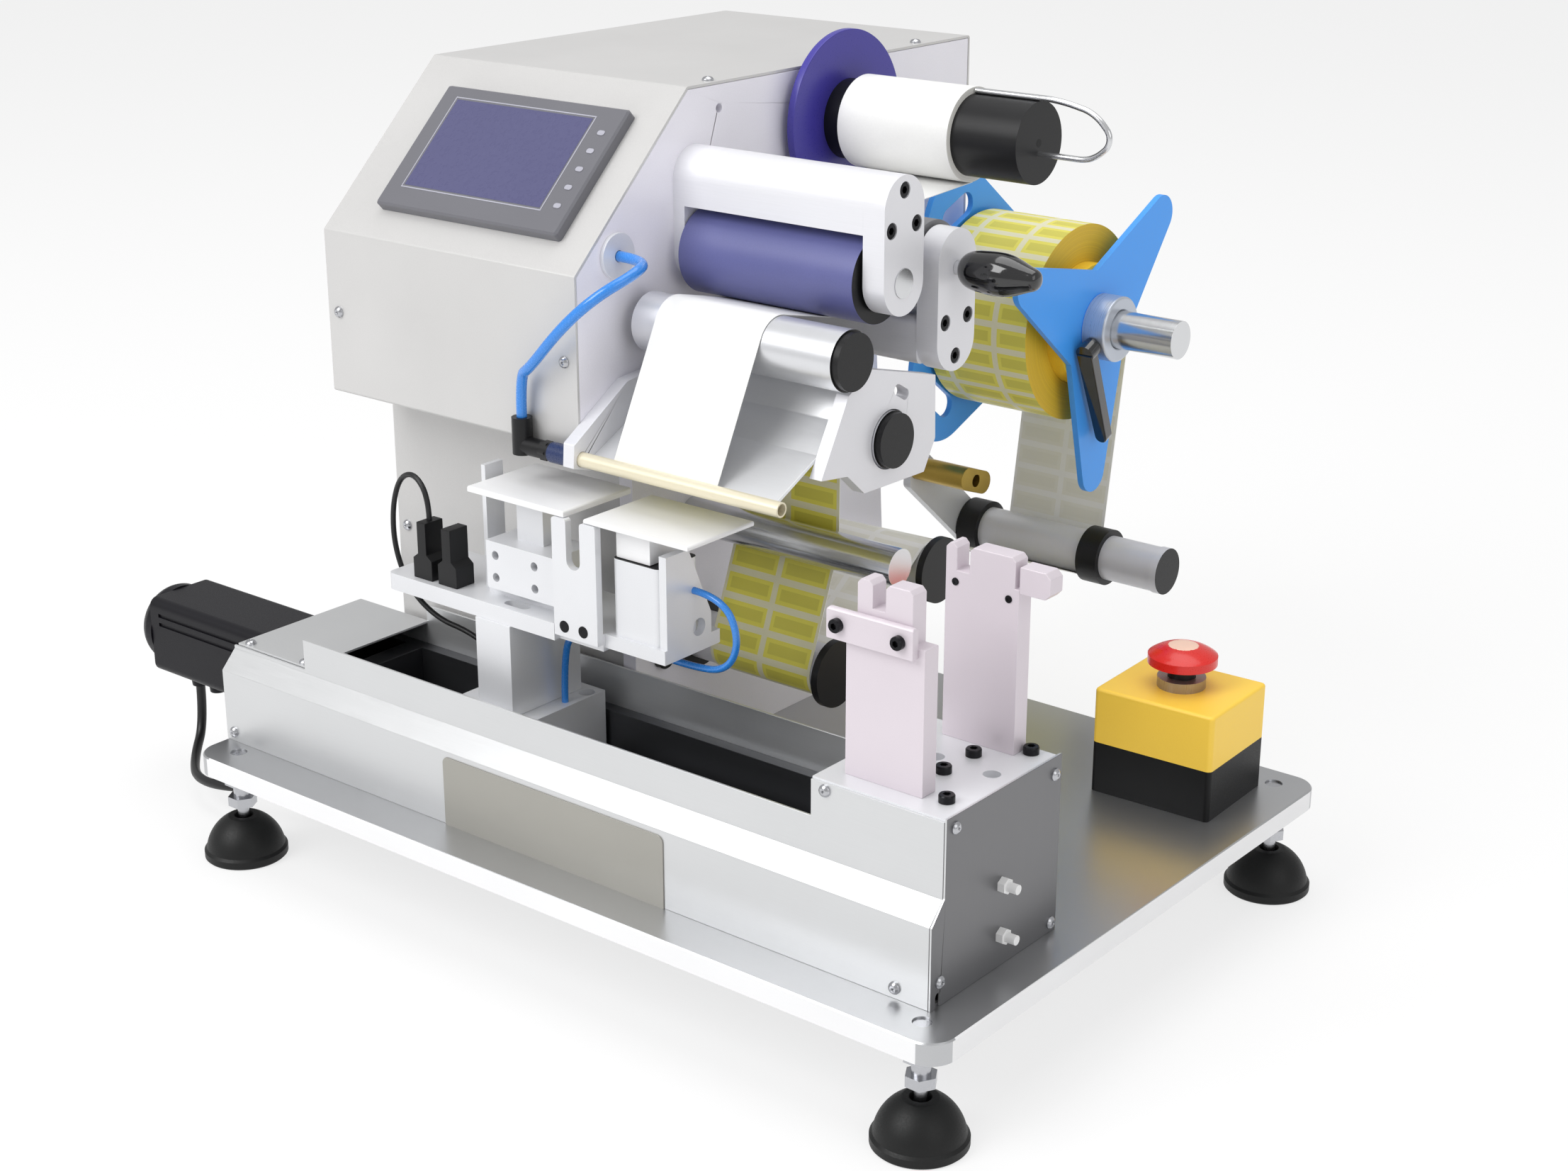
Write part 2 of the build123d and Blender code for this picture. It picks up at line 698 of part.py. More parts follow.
def cable_post(face, left, width, shoulder_z, prong_left, prong_right):
    """Post plate; its slot lines up with the gap between the fold plates."""
    with BuildPart() as post:
        with BuildSketch(at_y(face)):
            between(left, end_block_z, left + width, shoulder_z)
            between(prong_left, shoulder_z, prong_right, prong_top)
            between(post_slot_x - post_slot_width / 2, cable_z, post_slot_x + post_slot_width / 2, prong_top + 1,
                    mode=Mode.SUBTRACT)
        extrude(amount=post_thickness if face < screw_y else -post_thickness)
        tips = post.edges().filter_by(Axis.Y).group_by(Axis.Z)[-1]
        chamfer(tips, 2.2)
    return post


front_post = cable_post(front_post_face, front_post_left, front_post_width, cable_z - 14,
                        post_slot_x - 13, post_slot_x + 20)
rear_post = cable_post(rear_post_face, rear_post_left, rear_post_width, cable_z - 2,
                       post_slot_x - 10.5, post_slot_x + 31)
with BuildPart() as front_clamp:
    with BuildSketch(at_y(front_post_face - post_thickness)):
        between(front_post_left - 9, cable_z - 19, front_post_left + front_post_width - 4, cable_z - 3)
    extrude(amount=4.5)
    chamfer(front_clamp.edges().group_by(Axis.Z)[-1], 1)
with BuildPart() as side_clamp:
    with BuildSketch(at_x(rear_post_left + rear_post_width)):
        between(rear_post_face, cable_z - 4, rear_post_face + post_thickness, cable_z + 10)
    extrude(amount=18)
    chamfer(side_clamp.edges().filter_by(Axis.Y).sort_by(Axis.X)[-2:], 3)
cable_posts = group("cable_posts", front_post, rear_post, front_clamp, side_clamp)

# Column: folded sheet box behind the module
with BuildPart() as column:
    with BuildSketch(at_z(deck)):
        between(column_left, column_front, plate_x, column_back)
    extrude(amount=cabinet_above_deck)
    fillet(column.edges().filter_by(Axis.Z), 2)
    with BuildSketch(at_z(deck)):
        between(column_left + 2, column_front + 2, plate_x - 2, column_back - 2)
    extrude(amount=cabinet_above_deck - 2, mode=Mode.SUBTRACT)

# Cabinet: folded sheet hood over the main plate
slant_z = cabinet_bottom + cabinet_slant_low
slant_back = cabinet_front + cabinet_slant_back
grommet_y = cabinet_front + 33
grommet_z = slant_z + 6
slant_angle = atan2(cabinet_top - slant_z, cabinet_slant_back)
hood_outline = [
    (cabinet_front, cabinet_bottom), (cabinet_front, slant_z), (slant_back, cabinet_top),
    (cabinet_back, cabinet_top), (cabinet_back, cabinet_bottom),
]
plate_gap = 0.2
with BuildPart() as cabinet:
    with BuildSketch(at_x(cabinet_left)):
        with BuildLine():
            Polyline(*hood_outline, close=True)
        make_face()
    extrude(amount=wall_face - cabinet_left)
    fillet(cabinet.edges().filter_by(Axis.X), 2)
    with BuildSketch(at_x(cabinet_left + sheet)):
        with BuildLine():
            Polyline(*hood_outline, close=True)
        make_face()
        offset(amount=-sheet, kind=Kind.INTERSECTION, mode=Mode.REPLACE)
    extrude(amount=wall_face - cabinet_left, mode=Mode.SUBTRACT)
    with BuildSketch(at_x(plate_x - plate_gap)):
        between(main_plate_front - plate_gap, cabinet_bottom - 1, plate_neck_back + plate_gap, cabinet_bottom + sheet + 1)
    extrude(amount=main_plate_thickness + 1, mode=Mode.SUBTRACT)
    with BuildSketch(at_y(cabinet_back)):
        for row in range(6):
            with Locations((-150, cabinet_bottom + 60 + 9 * row)):
                SlotOverall(60, 3.5)
    extrude(amount=sheet * 2, mode=Mode.SUBTRACT, both=True)

# Main plate: carries every roller and stands on the base plate
with BuildPart() as main_plate:
    with BuildSketch(at_x(plate_x)):
        with BuildLine():
            Polyline(*hood_outline, close=True)
        make_face()
        offset(amount=-sheet - plate_gap, kind=Kind.INTERSECTION, mode=Mode.REPLACE)
        with BuildLine():
            Polyline((main_plate_front, deck), (main_plate_front, cabinet_bottom + 20), (plate_neck_back, cabinet_bottom + 20),
                     (plate_neck_back, cabinet_bottom), (column_back, deck + 60), (column_back, deck), close=True)
        make_face()
        with Locations((drive_y, nip_z)):
            Circle(8 + running_fit, mode=Mode.SUBTRACT)
        with Locations((rewind_y, rewind_z)):
            Circle(8 + running_fit, mode=Mode.SUBTRACT)
        with Locations((reel_y, reel_z)):
            Circle(reel_journal + running_fit, mode=Mode.SUBTRACT)
        with Locations((grommet_y, grommet_z)):
            Circle(grommet_radius, mode=Mode.SUBTRACT)
        with Locations((24.5, cabinet_top - 15)):
            Circle(2.5, mode=Mode.SUBTRACT)
    extrude(amount=main_plate_thickness)

# Touch panel on the slanted front
slant_plane = Plane(origin=(0, cabinet_front, slant_z), x_dir=(1, 0, 0),
                    z_dir=(0, -sin(slant_angle), cos(slant_angle)))
panel_top = panel_up_slant + panel_height
with BuildPart() as panel_bezel:
    with BuildSketch(slant_plane):
        between(panel_left, panel_up_slant, panel_left + panel_width, panel_top)
    extrude(amount=panel_proud)
    fillet(panel_bezel.edges().filter_by(lambda edge: abs(edge.length - panel_proud) < 0.01), 2)
    chamfer(panel_bezel.faces().sort_by(Axis(slant_plane.origin, slant_plane.z_dir))[-1].edges(), 1.2)
    with BuildSketch(slant_plane.offset(panel_proud)):
        between(panel_left + screen_inset_left, panel_up_slant + screen_inset_low,
                panel_left + screen_inset_left + screen_width, panel_up_slant + screen_inset_low + screen_height)
    extrude(amount=-2, mode=Mode.SUBTRACT)
with BuildPart() as panel_screen:
    with BuildSketch(slant_plane.offset(panel_proud - 2)):
        between(panel_left + screen_inset_left, panel_up_slant + screen_inset_low,
                panel_left + screen_inset_left + screen_width, panel_up_slant + screen_inset_low + screen_height)
    extrude(amount=1.2)
touch_panel = group("touch_panel", panel_bezel, panel_screen)

# Fixed shafts on the main plate: roller spindles and the polished guide bar
guide_end = guide_plate_inner + guide_plate_thickness + 5
flanged_end = web_right + 9
rollers = {
    "upper_guide": (upper_guide_y, cabinet_bottom + upper_guide_height, guide_end - 6),
    "lower_guide": (lower_guide_y, cabinet_bottom + lower_guide_height, guide_end - 6),
    "front_flanged": (front_flanged_y, cabinet_bottom + front_flanged_height, flanged_end - 5),
    "rear_flanged": (rear_flanged_y, cabinet_bottom + rear_flanged_height, flanged_end - 5),
}
spindles = [turned(y, z, [(wall_face, end, spindle_radius)]) for y, z, end in rollers.values()]
guide_bar = turned(bar_y, cabinet_bottom + bar_height, [(wall_face, guide_end, bar_radius)])
fixed_shafts = group("fixed_shafts", guide_bar, *spindles)


def guide_roller(y, z, steps, bore_end):
    """Roller with a blind bore that runs on a fixed spindle."""
    with BuildPart() as roller:
        add(turned(y, z, steps).part)
        with BuildSketch(at_x(steps[0][0])):
            with Locations((y, z)):
                Circle(spindle_radius + running_fit)
        extrude(amount=bore_end - steps[0][0], mode=Mode.SUBTRACT)
    return roller


side_gap = 0.5
roller_left = wall_face + guide_plate_thickness + side_gap
upper_guide = guide_roller(upper_guide_y, rollers["upper_guide"][1],
                           [(roller_left, guide_end - 4, guide_radius), (guide_end - 4, guide_end, guide_radius - 1)],
                           guide_end - 5.4)
lower_guide = guide_roller(lower_guide_y, rollers["lower_guide"][1],
                           [(roller_left, guide_end - 4, lower_guide_radius),
                            (guide_end - 4, guide_end, lower_guide_radius - 0.8)], guide_end - 5.4)
flanged_steps = [(wall_face + 3, wall_face + 7, flange_radius), (wall_face + 7, web_right + 4.5, flanged_radius),
                 (web_right + 4.5, flanged_end, flange_radius)]
front_flanged_roller = guide_roller(front_flanged_y, rollers["front_flanged"][1], flanged_steps, flanged_end - 4.4)
rear_flanged_roller = guide_roller(rear_flanged_y, rollers["rear_flanged"][1], flanged_steps, flanged_end - 4.4)

# Drive and pressure brackets: two end plates and a cross bar each
bracket_right = bracket_inner + bracket_thickness
screw_head = 4.4
screw_sink = 5.0


def obround(x, y, low, high, width, thickness, bore, screws=()):
    """End plate with round ends, a bore at the roller's axis and counterbored screw holes."""
    with BuildPart() as plate:
        with BuildSketch(at_x(x)):
            with Locations((y, (low + high) / 2)):
                SlotOverall(high - low, width, rotation=90)
            with Locations(bore[:2]):
                Circle(bore[2], mode=Mode.SUBTRACT)
        extrude(amount=thickness)
        if screws:
            with BuildSketch(at_x(x + thickness)):
                with Locations(*screws):
                    Circle(screw_head + seat_gap)
            extrude(amount=-screw_sink, mode=Mode.SUBTRACT)
    return plate


drive_low = nip_z - 17.5
drive_high = drive_low + 75
drive_screws = [(drive_y, drive_high - 8), (drive_y + 11, drive_high - 27), (drive_y - 11, drive_high - 28)]
drive_right = obround(bracket_inner, drive_y, drive_low, drive_high, 35, bracket_thickness,
                      (drive_y, nip_z, 8 + running_fit), drive_screws)
drive_left = obround(wall_face, drive_y, drive_low, drive_high, 35, guide_plate_thickness,
                     (drive_y, nip_z, 8 + running_fit))
with BuildPart() as drive_bar:
    with BuildSketch(at_x(wall_face + guide_plate_thickness)):
        with Locations((drive_y, drive_high - 17.5)):
            Circle(17.5)
        between(drive_y - 18, drive_high - 62, drive_y + 18, drive_high - 31, mode=Mode.SUBTRACT)
        between(drive_y - 17.5, drive_high - 31, drive_y - 5, drive_high - 17.5)
    extrude(amount=bracket_inner - wall_face - guide_plate_thickness)
drive_bracket = group("drive_bracket", drive_right, drive_left, drive_bar)
drive_roller = turned(drive_y, nip_z, [
    (plate_x - 5, roller_left, 8), (roller_left + 0.5, bracket_inner - 2, roller_radius),
    (roller_left - 0.1, bracket_right + 0.5, 8),
])

pressure_low = nip_z - 57.5
pressure_high = nip_z + 21.5
pressure_width = 35.0
knob_stem = 4.0
pressure_screws = [(pressure_y - 10, nip_z - 29), (pressure_y + 11, nip_z - 28), (pressure_y, nip_z - 49)]
pressure_right = obround(bracket_inner, pressure_y, pressure_low, pressure_high, pressure_width, bracket_thickness,
                         (pressure_y, nip_z, knob_stem + running_fit), pressure_screws)
pressure_left = obround(wall_face, pressure_y, pressure_low, pressure_high, pressure_width, guide_plate_thickness,
                        (pressure_y, nip_z, 4))
with BuildPart() as pressure_bar:
    with BuildSketch(at_x(wall_face + guide_plate_thickness)):
        with Locations((pressure_y, nip_z - 40)):
            RectangleRounded(pressure_width - 1, 27, 5)
    extrude(amount=bracket_inner - wall_face - guide_plate_thickness)
pressure_axle = turned(pressure_y, nip_z, [(wall_face + guide_plate_thickness, bracket_inner, spindle_radius)])
pressure_bracket = group("pressure_bracket", pressure_right, pressure_left, pressure_bar, pressure_axle)
pressure_roller = turned(pressure_y, nip_z, [(roller_left + 0.5, bracket_inner - 2, pressure_radius)],
                         bore=spindle_radius + running_fit)

# Oval release knob on the pressure roller's axis
knob_left = bracket_right + 4
with BuildPart() as release_knob:
    with BuildSketch(Plane(origin=(0, pressure_y, nip_z), x_dir=(1, 0, 0), z_dir=(0, -1, 0))):
        with BuildLine():
            Line((bracket_inner + 1, 0), (bracket_inner + 1, knob_stem))
            Line((bracket_inner + 1, knob_stem), (knob_left, knob_stem))
            Line((knob_left, knob_stem), (knob_left, 6))
            Spline((knob_left, 6), (knob_left + 14, 11.5), (knob_left + 30, 11.2), (knob_left + 44, 6.5), (knob_left + 49, 0),
                   tangents=((0.6, 1), (0, -1)))
            Line((knob_left + 49, 0), (bracket_inner + 1, 0))
        make_face()
    revolve(axis=Axis((0, pressure_y, nip_z), (1, 0, 0)))

# Guide plates at both ends of the peel station
tip_y = air_tube_y + 6
tip_z = cabinet_bottom - 3.6
lower_z = rollers["lower_guide"][1]
upper_z = rollers["upper_guide"][1]
with BuildPart() as right_guide_plate:
    with BuildSketch(at_x(guide_plate_inner)):
        with BuildLine():
            Polyline((upper_guide_y + 21, upper_z - 9), (lower_guide_y + 41, upper_z - 24),
                     (lower_guide_y + 42, lower_z - 9), (lower_guide_y + 32, lower_z - 26),
                     (lower_guide_y - 22, lower_z - 25), (lower_guide_y - 37, lower_z - 12),
                     (upper_guide_y - 22, lower_z - 9), (upper_guide_y + 1, upper_z - 19), close=True)
        make_face()
        with Locations((lower_guide_y, lower_z)):
            Circle(lower_guide_radius + side_gap, mode=Mode.SUBTRACT)
        with Locations((lower_guide_y + 10, lower_z + 24)):
            SlotOverall(14, 6, rotation=-30, mode=Mode.SUBTRACT)
        with Locations((upper_guide_y, upper_z)):
            Circle(guide_radius + side_gap, mode=Mode.SUBTRACT)
    extrude(amount=guide_plate_thickness)
with BuildPart() as left_guide_plate:
    with BuildSketch(at_x(wall_face)):
        with BuildLine():
            Polyline((upper_guide_y + 22, upper_z - 26), (lower_guide_y + 17, lower_z + 26),
                     (lower_guide_y + 24, lower_z - 13), (lower_guide_y - 22, lower_z - 26),
                     (air_tube_y + 6, cabinet_bottom - 9), (air_tube_y - 7, cabinet_bottom - 5),
                     (air_tube_y - 6, cabinet_bottom + 8), (upper_guide_y - 20, lower_z + 21), close=True)
        make_face()
        with Locations((lower_guide_y, lower_z)):
            Circle(spindle_radius + seat_gap, mode=Mode.SUBTRACT)
        with Locations((air_tube_y, cabinet_bottom + air_tube_height)):
            Circle(air_tube_radius + seat_gap, mode=Mode.SUBTRACT)
    extrude(amount=guide_plate_thickness)
guide_plates = group("guide_plates", left_guide_plate, right_guide_plate)

# Peel plate: bent sheet that ends in the peeling edge
bends = [(upper_guide_y + 18, upper_z - 15), (upper_guide_y + 5, upper_z - 36), (upper_guide_y - 14, lower_z + 1),
         (tip_y, tip_z)]
with BuildPart() as peel_plate:
    with BuildSketch(at_x(wall_face + guide_plate_thickness)):
        with BuildLine():
            FilletPolyline(*bends, radius=4)
        trace(line_width=peel_sheet)
    extrude(amount=guide_plate_inner - wall_face - guide_plate_thickness)

# Air nozzle tube in front of the peeling edge, with its holder, elbow fitting and grommet
air_z = cabinet_bottom + air_tube_height
holder_left = wall_face - 14
elbow_x = holder_left - 23
elbow_top = air_z + 16
with BuildPart() as tube_holder:
    with BuildSketch(at_x(holder_left)):
        with Locations((air_tube_y, air_z)):
            Circle(fitting_radius)
            Circle(air_tube_radius + seat_gap, mode=Mode.SUBTRACT)
    extrude(amount=wall_face - holder_left)
with BuildPart() as elbow_fitting:
    with BuildSketch(at_x(elbow_x)):
        with Locations((air_tube_y, air_z)):
            Circle(5.2)
    extrude(amount=holder_left - elbow_x)
    with BuildSketch(at_z(air_z - 5)):
        with Locations((elbow_x, air_tube_y)):
            Circle(fitting_radius)
    extrude(amount=elbow_top - air_z + 5)
    with BuildSketch(at_x(holder_left - 7)):
        with Locations((air_tube_y, air_z)):
            RegularPolygon(fitting_radius, 6)
    extrude(amount=5)
with BuildPart() as hose_grommet:
    with BuildSketch(at_x(plate_x)):
        with Locations((grommet_y, grommet_z)):
            Circle(grommet_radius)
            Circle(hose_radius + seat_gap, mode=Mode.SUBTRACT)
    extrude(amount=main_plate_thickness)
    with BuildSketch(at_x(wall_face)):
        with Locations((grommet_y, grommet_z)):
            Circle(grommet_radius + 2)
            Circle(hose_radius + seat_gap, mode=Mode.SUBTRACT)
    extrude(amount=2.5)
air_fittings = group("air_fittings", tube_holder, elbow_fitting, hose_grommet)
with BuildPart() as air_tube:
    with BuildSketch(at_x(holder_left + 1)):
        with Locations((air_tube_y, air_z)):
            Circle(air_tube_radius)
            Circle(air_tube_radius - air_tube_wall, mode=Mode.SUBTRACT)
    extrude(amount=bracket_right + 1.6 - holder_left - 1)
hose_start = wall_face + 2.5
hose_points = [
    (hose_start, grommet_y, grommet_z), (hose_start + 19, grommet_y, grommet_z),
    (hose_start + 31, grommet_y - 19, grommet_z - 1), (hose_start + 20, air_tube_y - 2, grommet_z - 12),
    (hose_start - 2, air_tube_y - 7, grommet_z - 32), (elbow_x + 12, air_tube_y - 5, grommet_z - 58),
    (elbow_x, air_tube_y, elbow_top + 24), (elbow_x, air_tube_y, elbow_top),
]
air_hose = cord("air hose", hose_points, hose_radius)

# Emergency stop box
def estop_at(height):
    """Level plane of the stop box, turned with it."""
    return Plane(origin=(estop_x, estop_y, deck + height),
                 x_dir=(cos(radians(estop_turn)), sin(radians(estop_turn)), 0), z_dir=(0, 0, 1))


with BuildPart() as estop_base:
    with BuildSketch(estop_at(0)):
        RectangleRounded(estop_length, estop_depth, 3)
    extrude(amount=estop_base_height)
with BuildPart() as estop_shell:
    with BuildSketch(estop_at(estop_base_height)):
        RectangleRounded(estop_length, estop_depth, 3)
    extrude(amount=estop_cover_height)
    fillet(estop_shell.faces().sort_by(Axis.Z)[-1].edges(), 2)
    with BuildSketch(estop_at(0)):
        Circle(8 + seat_gap)
    extrude(amount=200, mode=Mode.SUBTRACT)
estop_top = estop_base_height + estop_cover_height
with BuildPart() as estop_collar:
    with BuildSketch(estop_at(estop_top)):
        Circle(14)
        Circle(8 + seat_gap, mode=Mode.SUBTRACT)
    extrude(amount=collar_height)
estop_cover = group("estop_cover", estop_shell, estop_collar)
flare_z = collar_height + button_travel + loose_fit
with BuildPart() as estop_button:
    with BuildSketch(Plane(origin=(estop_x, estop_y, deck + estop_top), x_dir=(1, 0, 0), z_dir=(0, -1, 0))):
        with BuildLine():
            Line((0, -14), (8, -14))
            Line((8, -14), (8, flare_z))
            Line((8, flare_z), (12, flare_z + 1))
            Line((12, flare_z + 1), (button_radius, flare_z + 4))
            Line((button_radius, flare_z + 4), (button_radius, flare_z + 9))
            ThreePointArc((button_radius, flare_z + 9), (button_radius * 0.6, flare_z + 13.4), (4, flare_z + 15))
            Line((4, flare_z + 15), (0, flare_z + 15))
            Line((0, flare_z + 15), (0, -14))
        make_face()
    revolve(axis=Axis((estop_x, estop_y, 0), (0, 0, 1)))

# Bracket that carries the last idler behind the main plate's edge
arm_right = wall_face + 5.5
pin_y = idler_y - 59
pin_z = idler_z + 51.6
with BuildPart() as idler_arm:
    with BuildSketch(at_x(wall_face)) as idler_outline:
        with BuildLine():
            Polyline((pin_y - 10, pin_z + 6), (pin_y + 8, pin_z + 10), (idler_y + 11, idler_z + 8),
                     (idler_y + 6, idler_z - 11), (idler_y - 9, idler_z - 10), (pin_y - 12, pin_z - 8), close=True)
        make_face()
        fillet(idler_outline.vertices(), 5)
    extrude(amount=arm_right - wall_face)
    with BuildSketch(at_x(arm_right)):
        with Locations((idler_y, idler_z)):
            Circle(spindle_radius)
    extrude(amount=guide_end - arm_right)
with BuildPart() as clamp_bush:
    with BuildSketch(at_x(arm_right)):
        with Locations((pin_y + 5, pin_z)):
            SlotOverall(34, 15, rotation=-20)
            Circle(4, mode=Mode.SUBTRACT)
    extrude(amount=40)
idler_bracket = group("idler_bracket", idler_arm, clamp_bush)
idler_left = arm_right + side_gap
idler_roller = guide_roller(idler_y, idler_z, [
    (idler_left, idler_left + collar_width, collar_radius), (idler_left, guide_end + 2, idler_radius),
    (web_right + 1, web_right + 1 + collar_width, collar_radius), (guide_end + 2, guide_end + 8, idler_radius + 0.6),
], guide_end + 0.6)

# Label reel: shaft, lobed flanges, roll on its core, clamping hub and lever
reel_fit = 0.05


def lobed_disc(root, lobes, tip):
    """Union of a root circle and arms that taper to a round tip, in the sketch in hand."""
    Circle(root)
    for side, up in lobes:
        reach = hypot(side, up) - tip
        along = (side / hypot(side, up), up / hypot(side, up))
        across = (-along[1], along[0])
        lean = (root - tip) / reach
        spread = sqrt(1 - lean ** 2)
        corners = []
        for radius, centre, sign in ((root, 0, 1), (tip, reach, 1), (tip, reach, -1), (root, 0, -1)):
            corners.append((along[0] * (centre + radius * lean) + sign * across[0] * radius * spread,
                            along[1] * (centre + radius * lean) + sign * across[1] * radius * spread))
        Polygon(*corners, align=None)
        with Locations((along[0] * reach, along[1] * reach)):
            Circle(tip)


reel_shaft = turned(reel_y, reel_z, [
    (plate_x - 5, wall_face + 1, reel_journal), (wall_face + 1, reel_shaft_end, reel_shaft_radius),
    (wall_face + 1, inner_flange_left, reel_shaft_radius + 6),
])
inner_reach = 95.0
inner_lobes = [(inner_reach * cos(radians(angle)), inner_reach * sin(radians(angle))) for angle in (112, 232, 352)]
with BuildPart() as reel_inner_flange:
    with BuildSketch(Plane(origin=(inner_flange_left, reel_y, reel_z), x_dir=(0, 1, 0), z_dir=(1, 0, 0))):
        lobed_disc(66, inner_lobes, 36)
        Circle(reel_shaft_radius + reel_fit, mode=Mode.SUBTRACT)
        for side, up in inner_lobes:
            with Locations((side * 0.72, up * 0.72)):
                SlotOverall(34, 15, rotation=degrees(atan2(up, side)) + 90, mode=Mode.SUBTRACT)
    extrude(amount=reel_flange_thickness)
with BuildPart() as outer_flange:
    with BuildSketch(Plane(origin=(outer_flange_left, reel_y, reel_z), x_dir=(0, 1, 0), z_dir=(1, 0, 0))):
        lobed_disc(34, [(80, 66), (1.5, -108), (-91, 43)], 12.5)
        Circle(reel_shaft_radius + reel_fit, mode=Mode.SUBTRACT)
    extrude(amount=reel_flange_thickness)
hub_left = outer_flange_left + reel_flange_thickness
with BuildPart() as clamp_hub:
    add(turned(reel_y, reel_z, [(hub_left, hub_left + hub_length, hub_radius)], bore=reel_shaft_radius + reel_fit).part)
    chamfer(clamp_hub.edges().filter_by(GeomType.CIRCLE).group_by(Axis.X)[-1], 1)
reel_outer_flange = group("reel_outer_flange", outer_flange, clamp_hub)
roll_paper = turned(reel_y, reel_z, [(web_left, web_right, reel_roll_radius)], bore=reel_core_radius + reel_fit)
roll_core = turned(reel_y, reel_z, [(inner_flange_left + reel_flange_thickness, outer_flange_left, reel_core_radius)],
                   bore=reel_shaft_radius + reel_fit)
label_roll = group("label_roll", roll_paper, roll_core)

# Clamping lever: its screw points out of the hub, its arm hangs beside the lower lobe
lever_angle = radians(202.5)
lever_axis = Vector(0, cos(lever_angle), sin(lever_angle))
lever_x = hub_left + hub_length / 2
lever_reach = 62
lever_root = Vector(lever_x, reel_y, reel_z) + lever_axis * (hub_radius + loose_fit)
lever_plane = Plane(origin=lever_root, x_dir=(0, -sin(lever_angle), cos(lever_angle)), z_dir=lever_axis)
with BuildPart() as clamp_lever:
    with BuildSketch(lever_plane):
        Circle(6)
    extrude(amount=10)
    with BuildSketch(lever_plane.offset(4)):
        with BuildLine():
            Polyline((0, -5.5), (0, 5.5), (lever_reach, 4.2), (lever_reach, -4.2), close=True)
        make_face()
        with Locations((lever_reach, 0)):
            Circle(4.2)
    extrude(amount=7)
    fillet(clamp_lever.faces().sort_by(Axis(lever_plane.origin, lever_plane.z_dir))[-1].edges(), 0.8)

# Liner rewind: flange, core with its stub shaft, wound liner and wire clip
rewind_left = wall_face + 5
rewind_flange = turned(rewind_y, rewind_z, [(rewind_left, rewind_left + 5, rewind_flange_radius)], bore=8 + reel_fit)
rewind_core = turned(rewind_y, rewind_z, [(plate_x - 5, rewind_left + 5, 8), (rewind_left + 5, core_end, rewind_core_radius)])
liner_roll = turned(rewind_y, rewind_z, [(web_left - 3, web_right + 1, liner_roll_radius)],
                    bore=rewind_core_radius + reel_fit)
clip_high = rewind_z + rewind_core_radius + clip_radius
clip_low = rewind_z - 6
clip_points = [
    (web_right + 2, rewind_y, clip_high), (core_end + 12, rewind_y, clip_high), (core_end + 36, rewind_y, clip_high - 5),
    (core_end + 49, rewind_y, clip_high - 19), (core_end + 35, rewind_y, clip_low), (core_end, rewind_y, clip_low),
]
wire_clip = cord("wire clip", clip_points, clip_radius)


def strip_side(stops, shift):
    """Lines and arcs of one side of a strip over the stops (y, z, radius, turn).

    A turn of 1 goes round counter-clockwise and one of -1 clockwise, seen from +X.
    """
    legs = []
    for (y0, z0, r0, turn0), (y1, z1, r1, turn1) in zip(stops, stops[1:]):
        first = turn0 * r0 - shift
        second = turn1 * r1 - shift
        heading = atan2(z1 - z0, y1 - y0) - asin((second - first) / hypot(y1 - y0, z1 - z0))
        normal = (-sin(heading), cos(heading))
        legs.append(((y0 - first * normal[0], z0 - first * normal[1]),
                     (y1 - second * normal[0], z1 - second * normal[1])))
    for (start, end), here, onward in zip(legs, stops[1:], legs[1:] + [None]):
        Line(start, end)
        if onward:
            y, z, radius, turn = here
            arrive = atan2(end[1] - z, end[0] - y)
            leave = atan2(onward[0][1] - z, onward[0][0] - y)
            if turn > 0 and leave < arrive:
                leave += 2 * pi
            if turn < 0 and leave > arrive:
                leave -= 2 * pi
            middle = (arrive + leave) / 2
            size = radius - turn * shift
            ThreePointArc(end, (y + size * cos(middle), z + size * sin(middle)), onward[0])
    return legs[0][0], legs[-1][1]


# Label web from the reel round the rollers to the peeling edge, and the bare liner back to the rewind
lift = loose_fit + web_thickness / 2
web_stops = [
    (reel_y, reel_z, reel_roll_radius + lift, -1),
    (idler_y, idler_z, idler_radius + lift, -1),
    (rear_flanged_y, rollers["rear_flanged"][1], flanged_radius + lift, 1),
    (front_flanged_y, rollers["front_flanged"][1], flanged_radius + lift, -1),
    (bar_y, cabinet_bottom + bar_height, bar_radius + lift, 1),
    (lower_guide_y, lower_z, lower_guide_radius + lift, 1),
    (tip_y, tip_z, peel_sheet / 2 + lift, -1),
    (upper_guide_y, upper_z, guide_radius + lift, -1),
    (drive_y, nip_z, roller_radius + lift, 1),
    (pressure_y, nip_z, pressure_radius + lift, -1),
    (rewind_y, rewind_z, liner_roll_radius + lift, 1),
]
with BuildPart() as label_web:
    with BuildSketch(at_x(web_left)):
        with BuildLine():
            first_start, first_end = strip_side(web_stops, web_thickness / 2)
            second_start, second_end = strip_side(web_stops, -web_thickness / 2)
            Line(first_start, second_start)
            Line(first_end, second_end)
        make_face()
    extrude(amount=web_width)

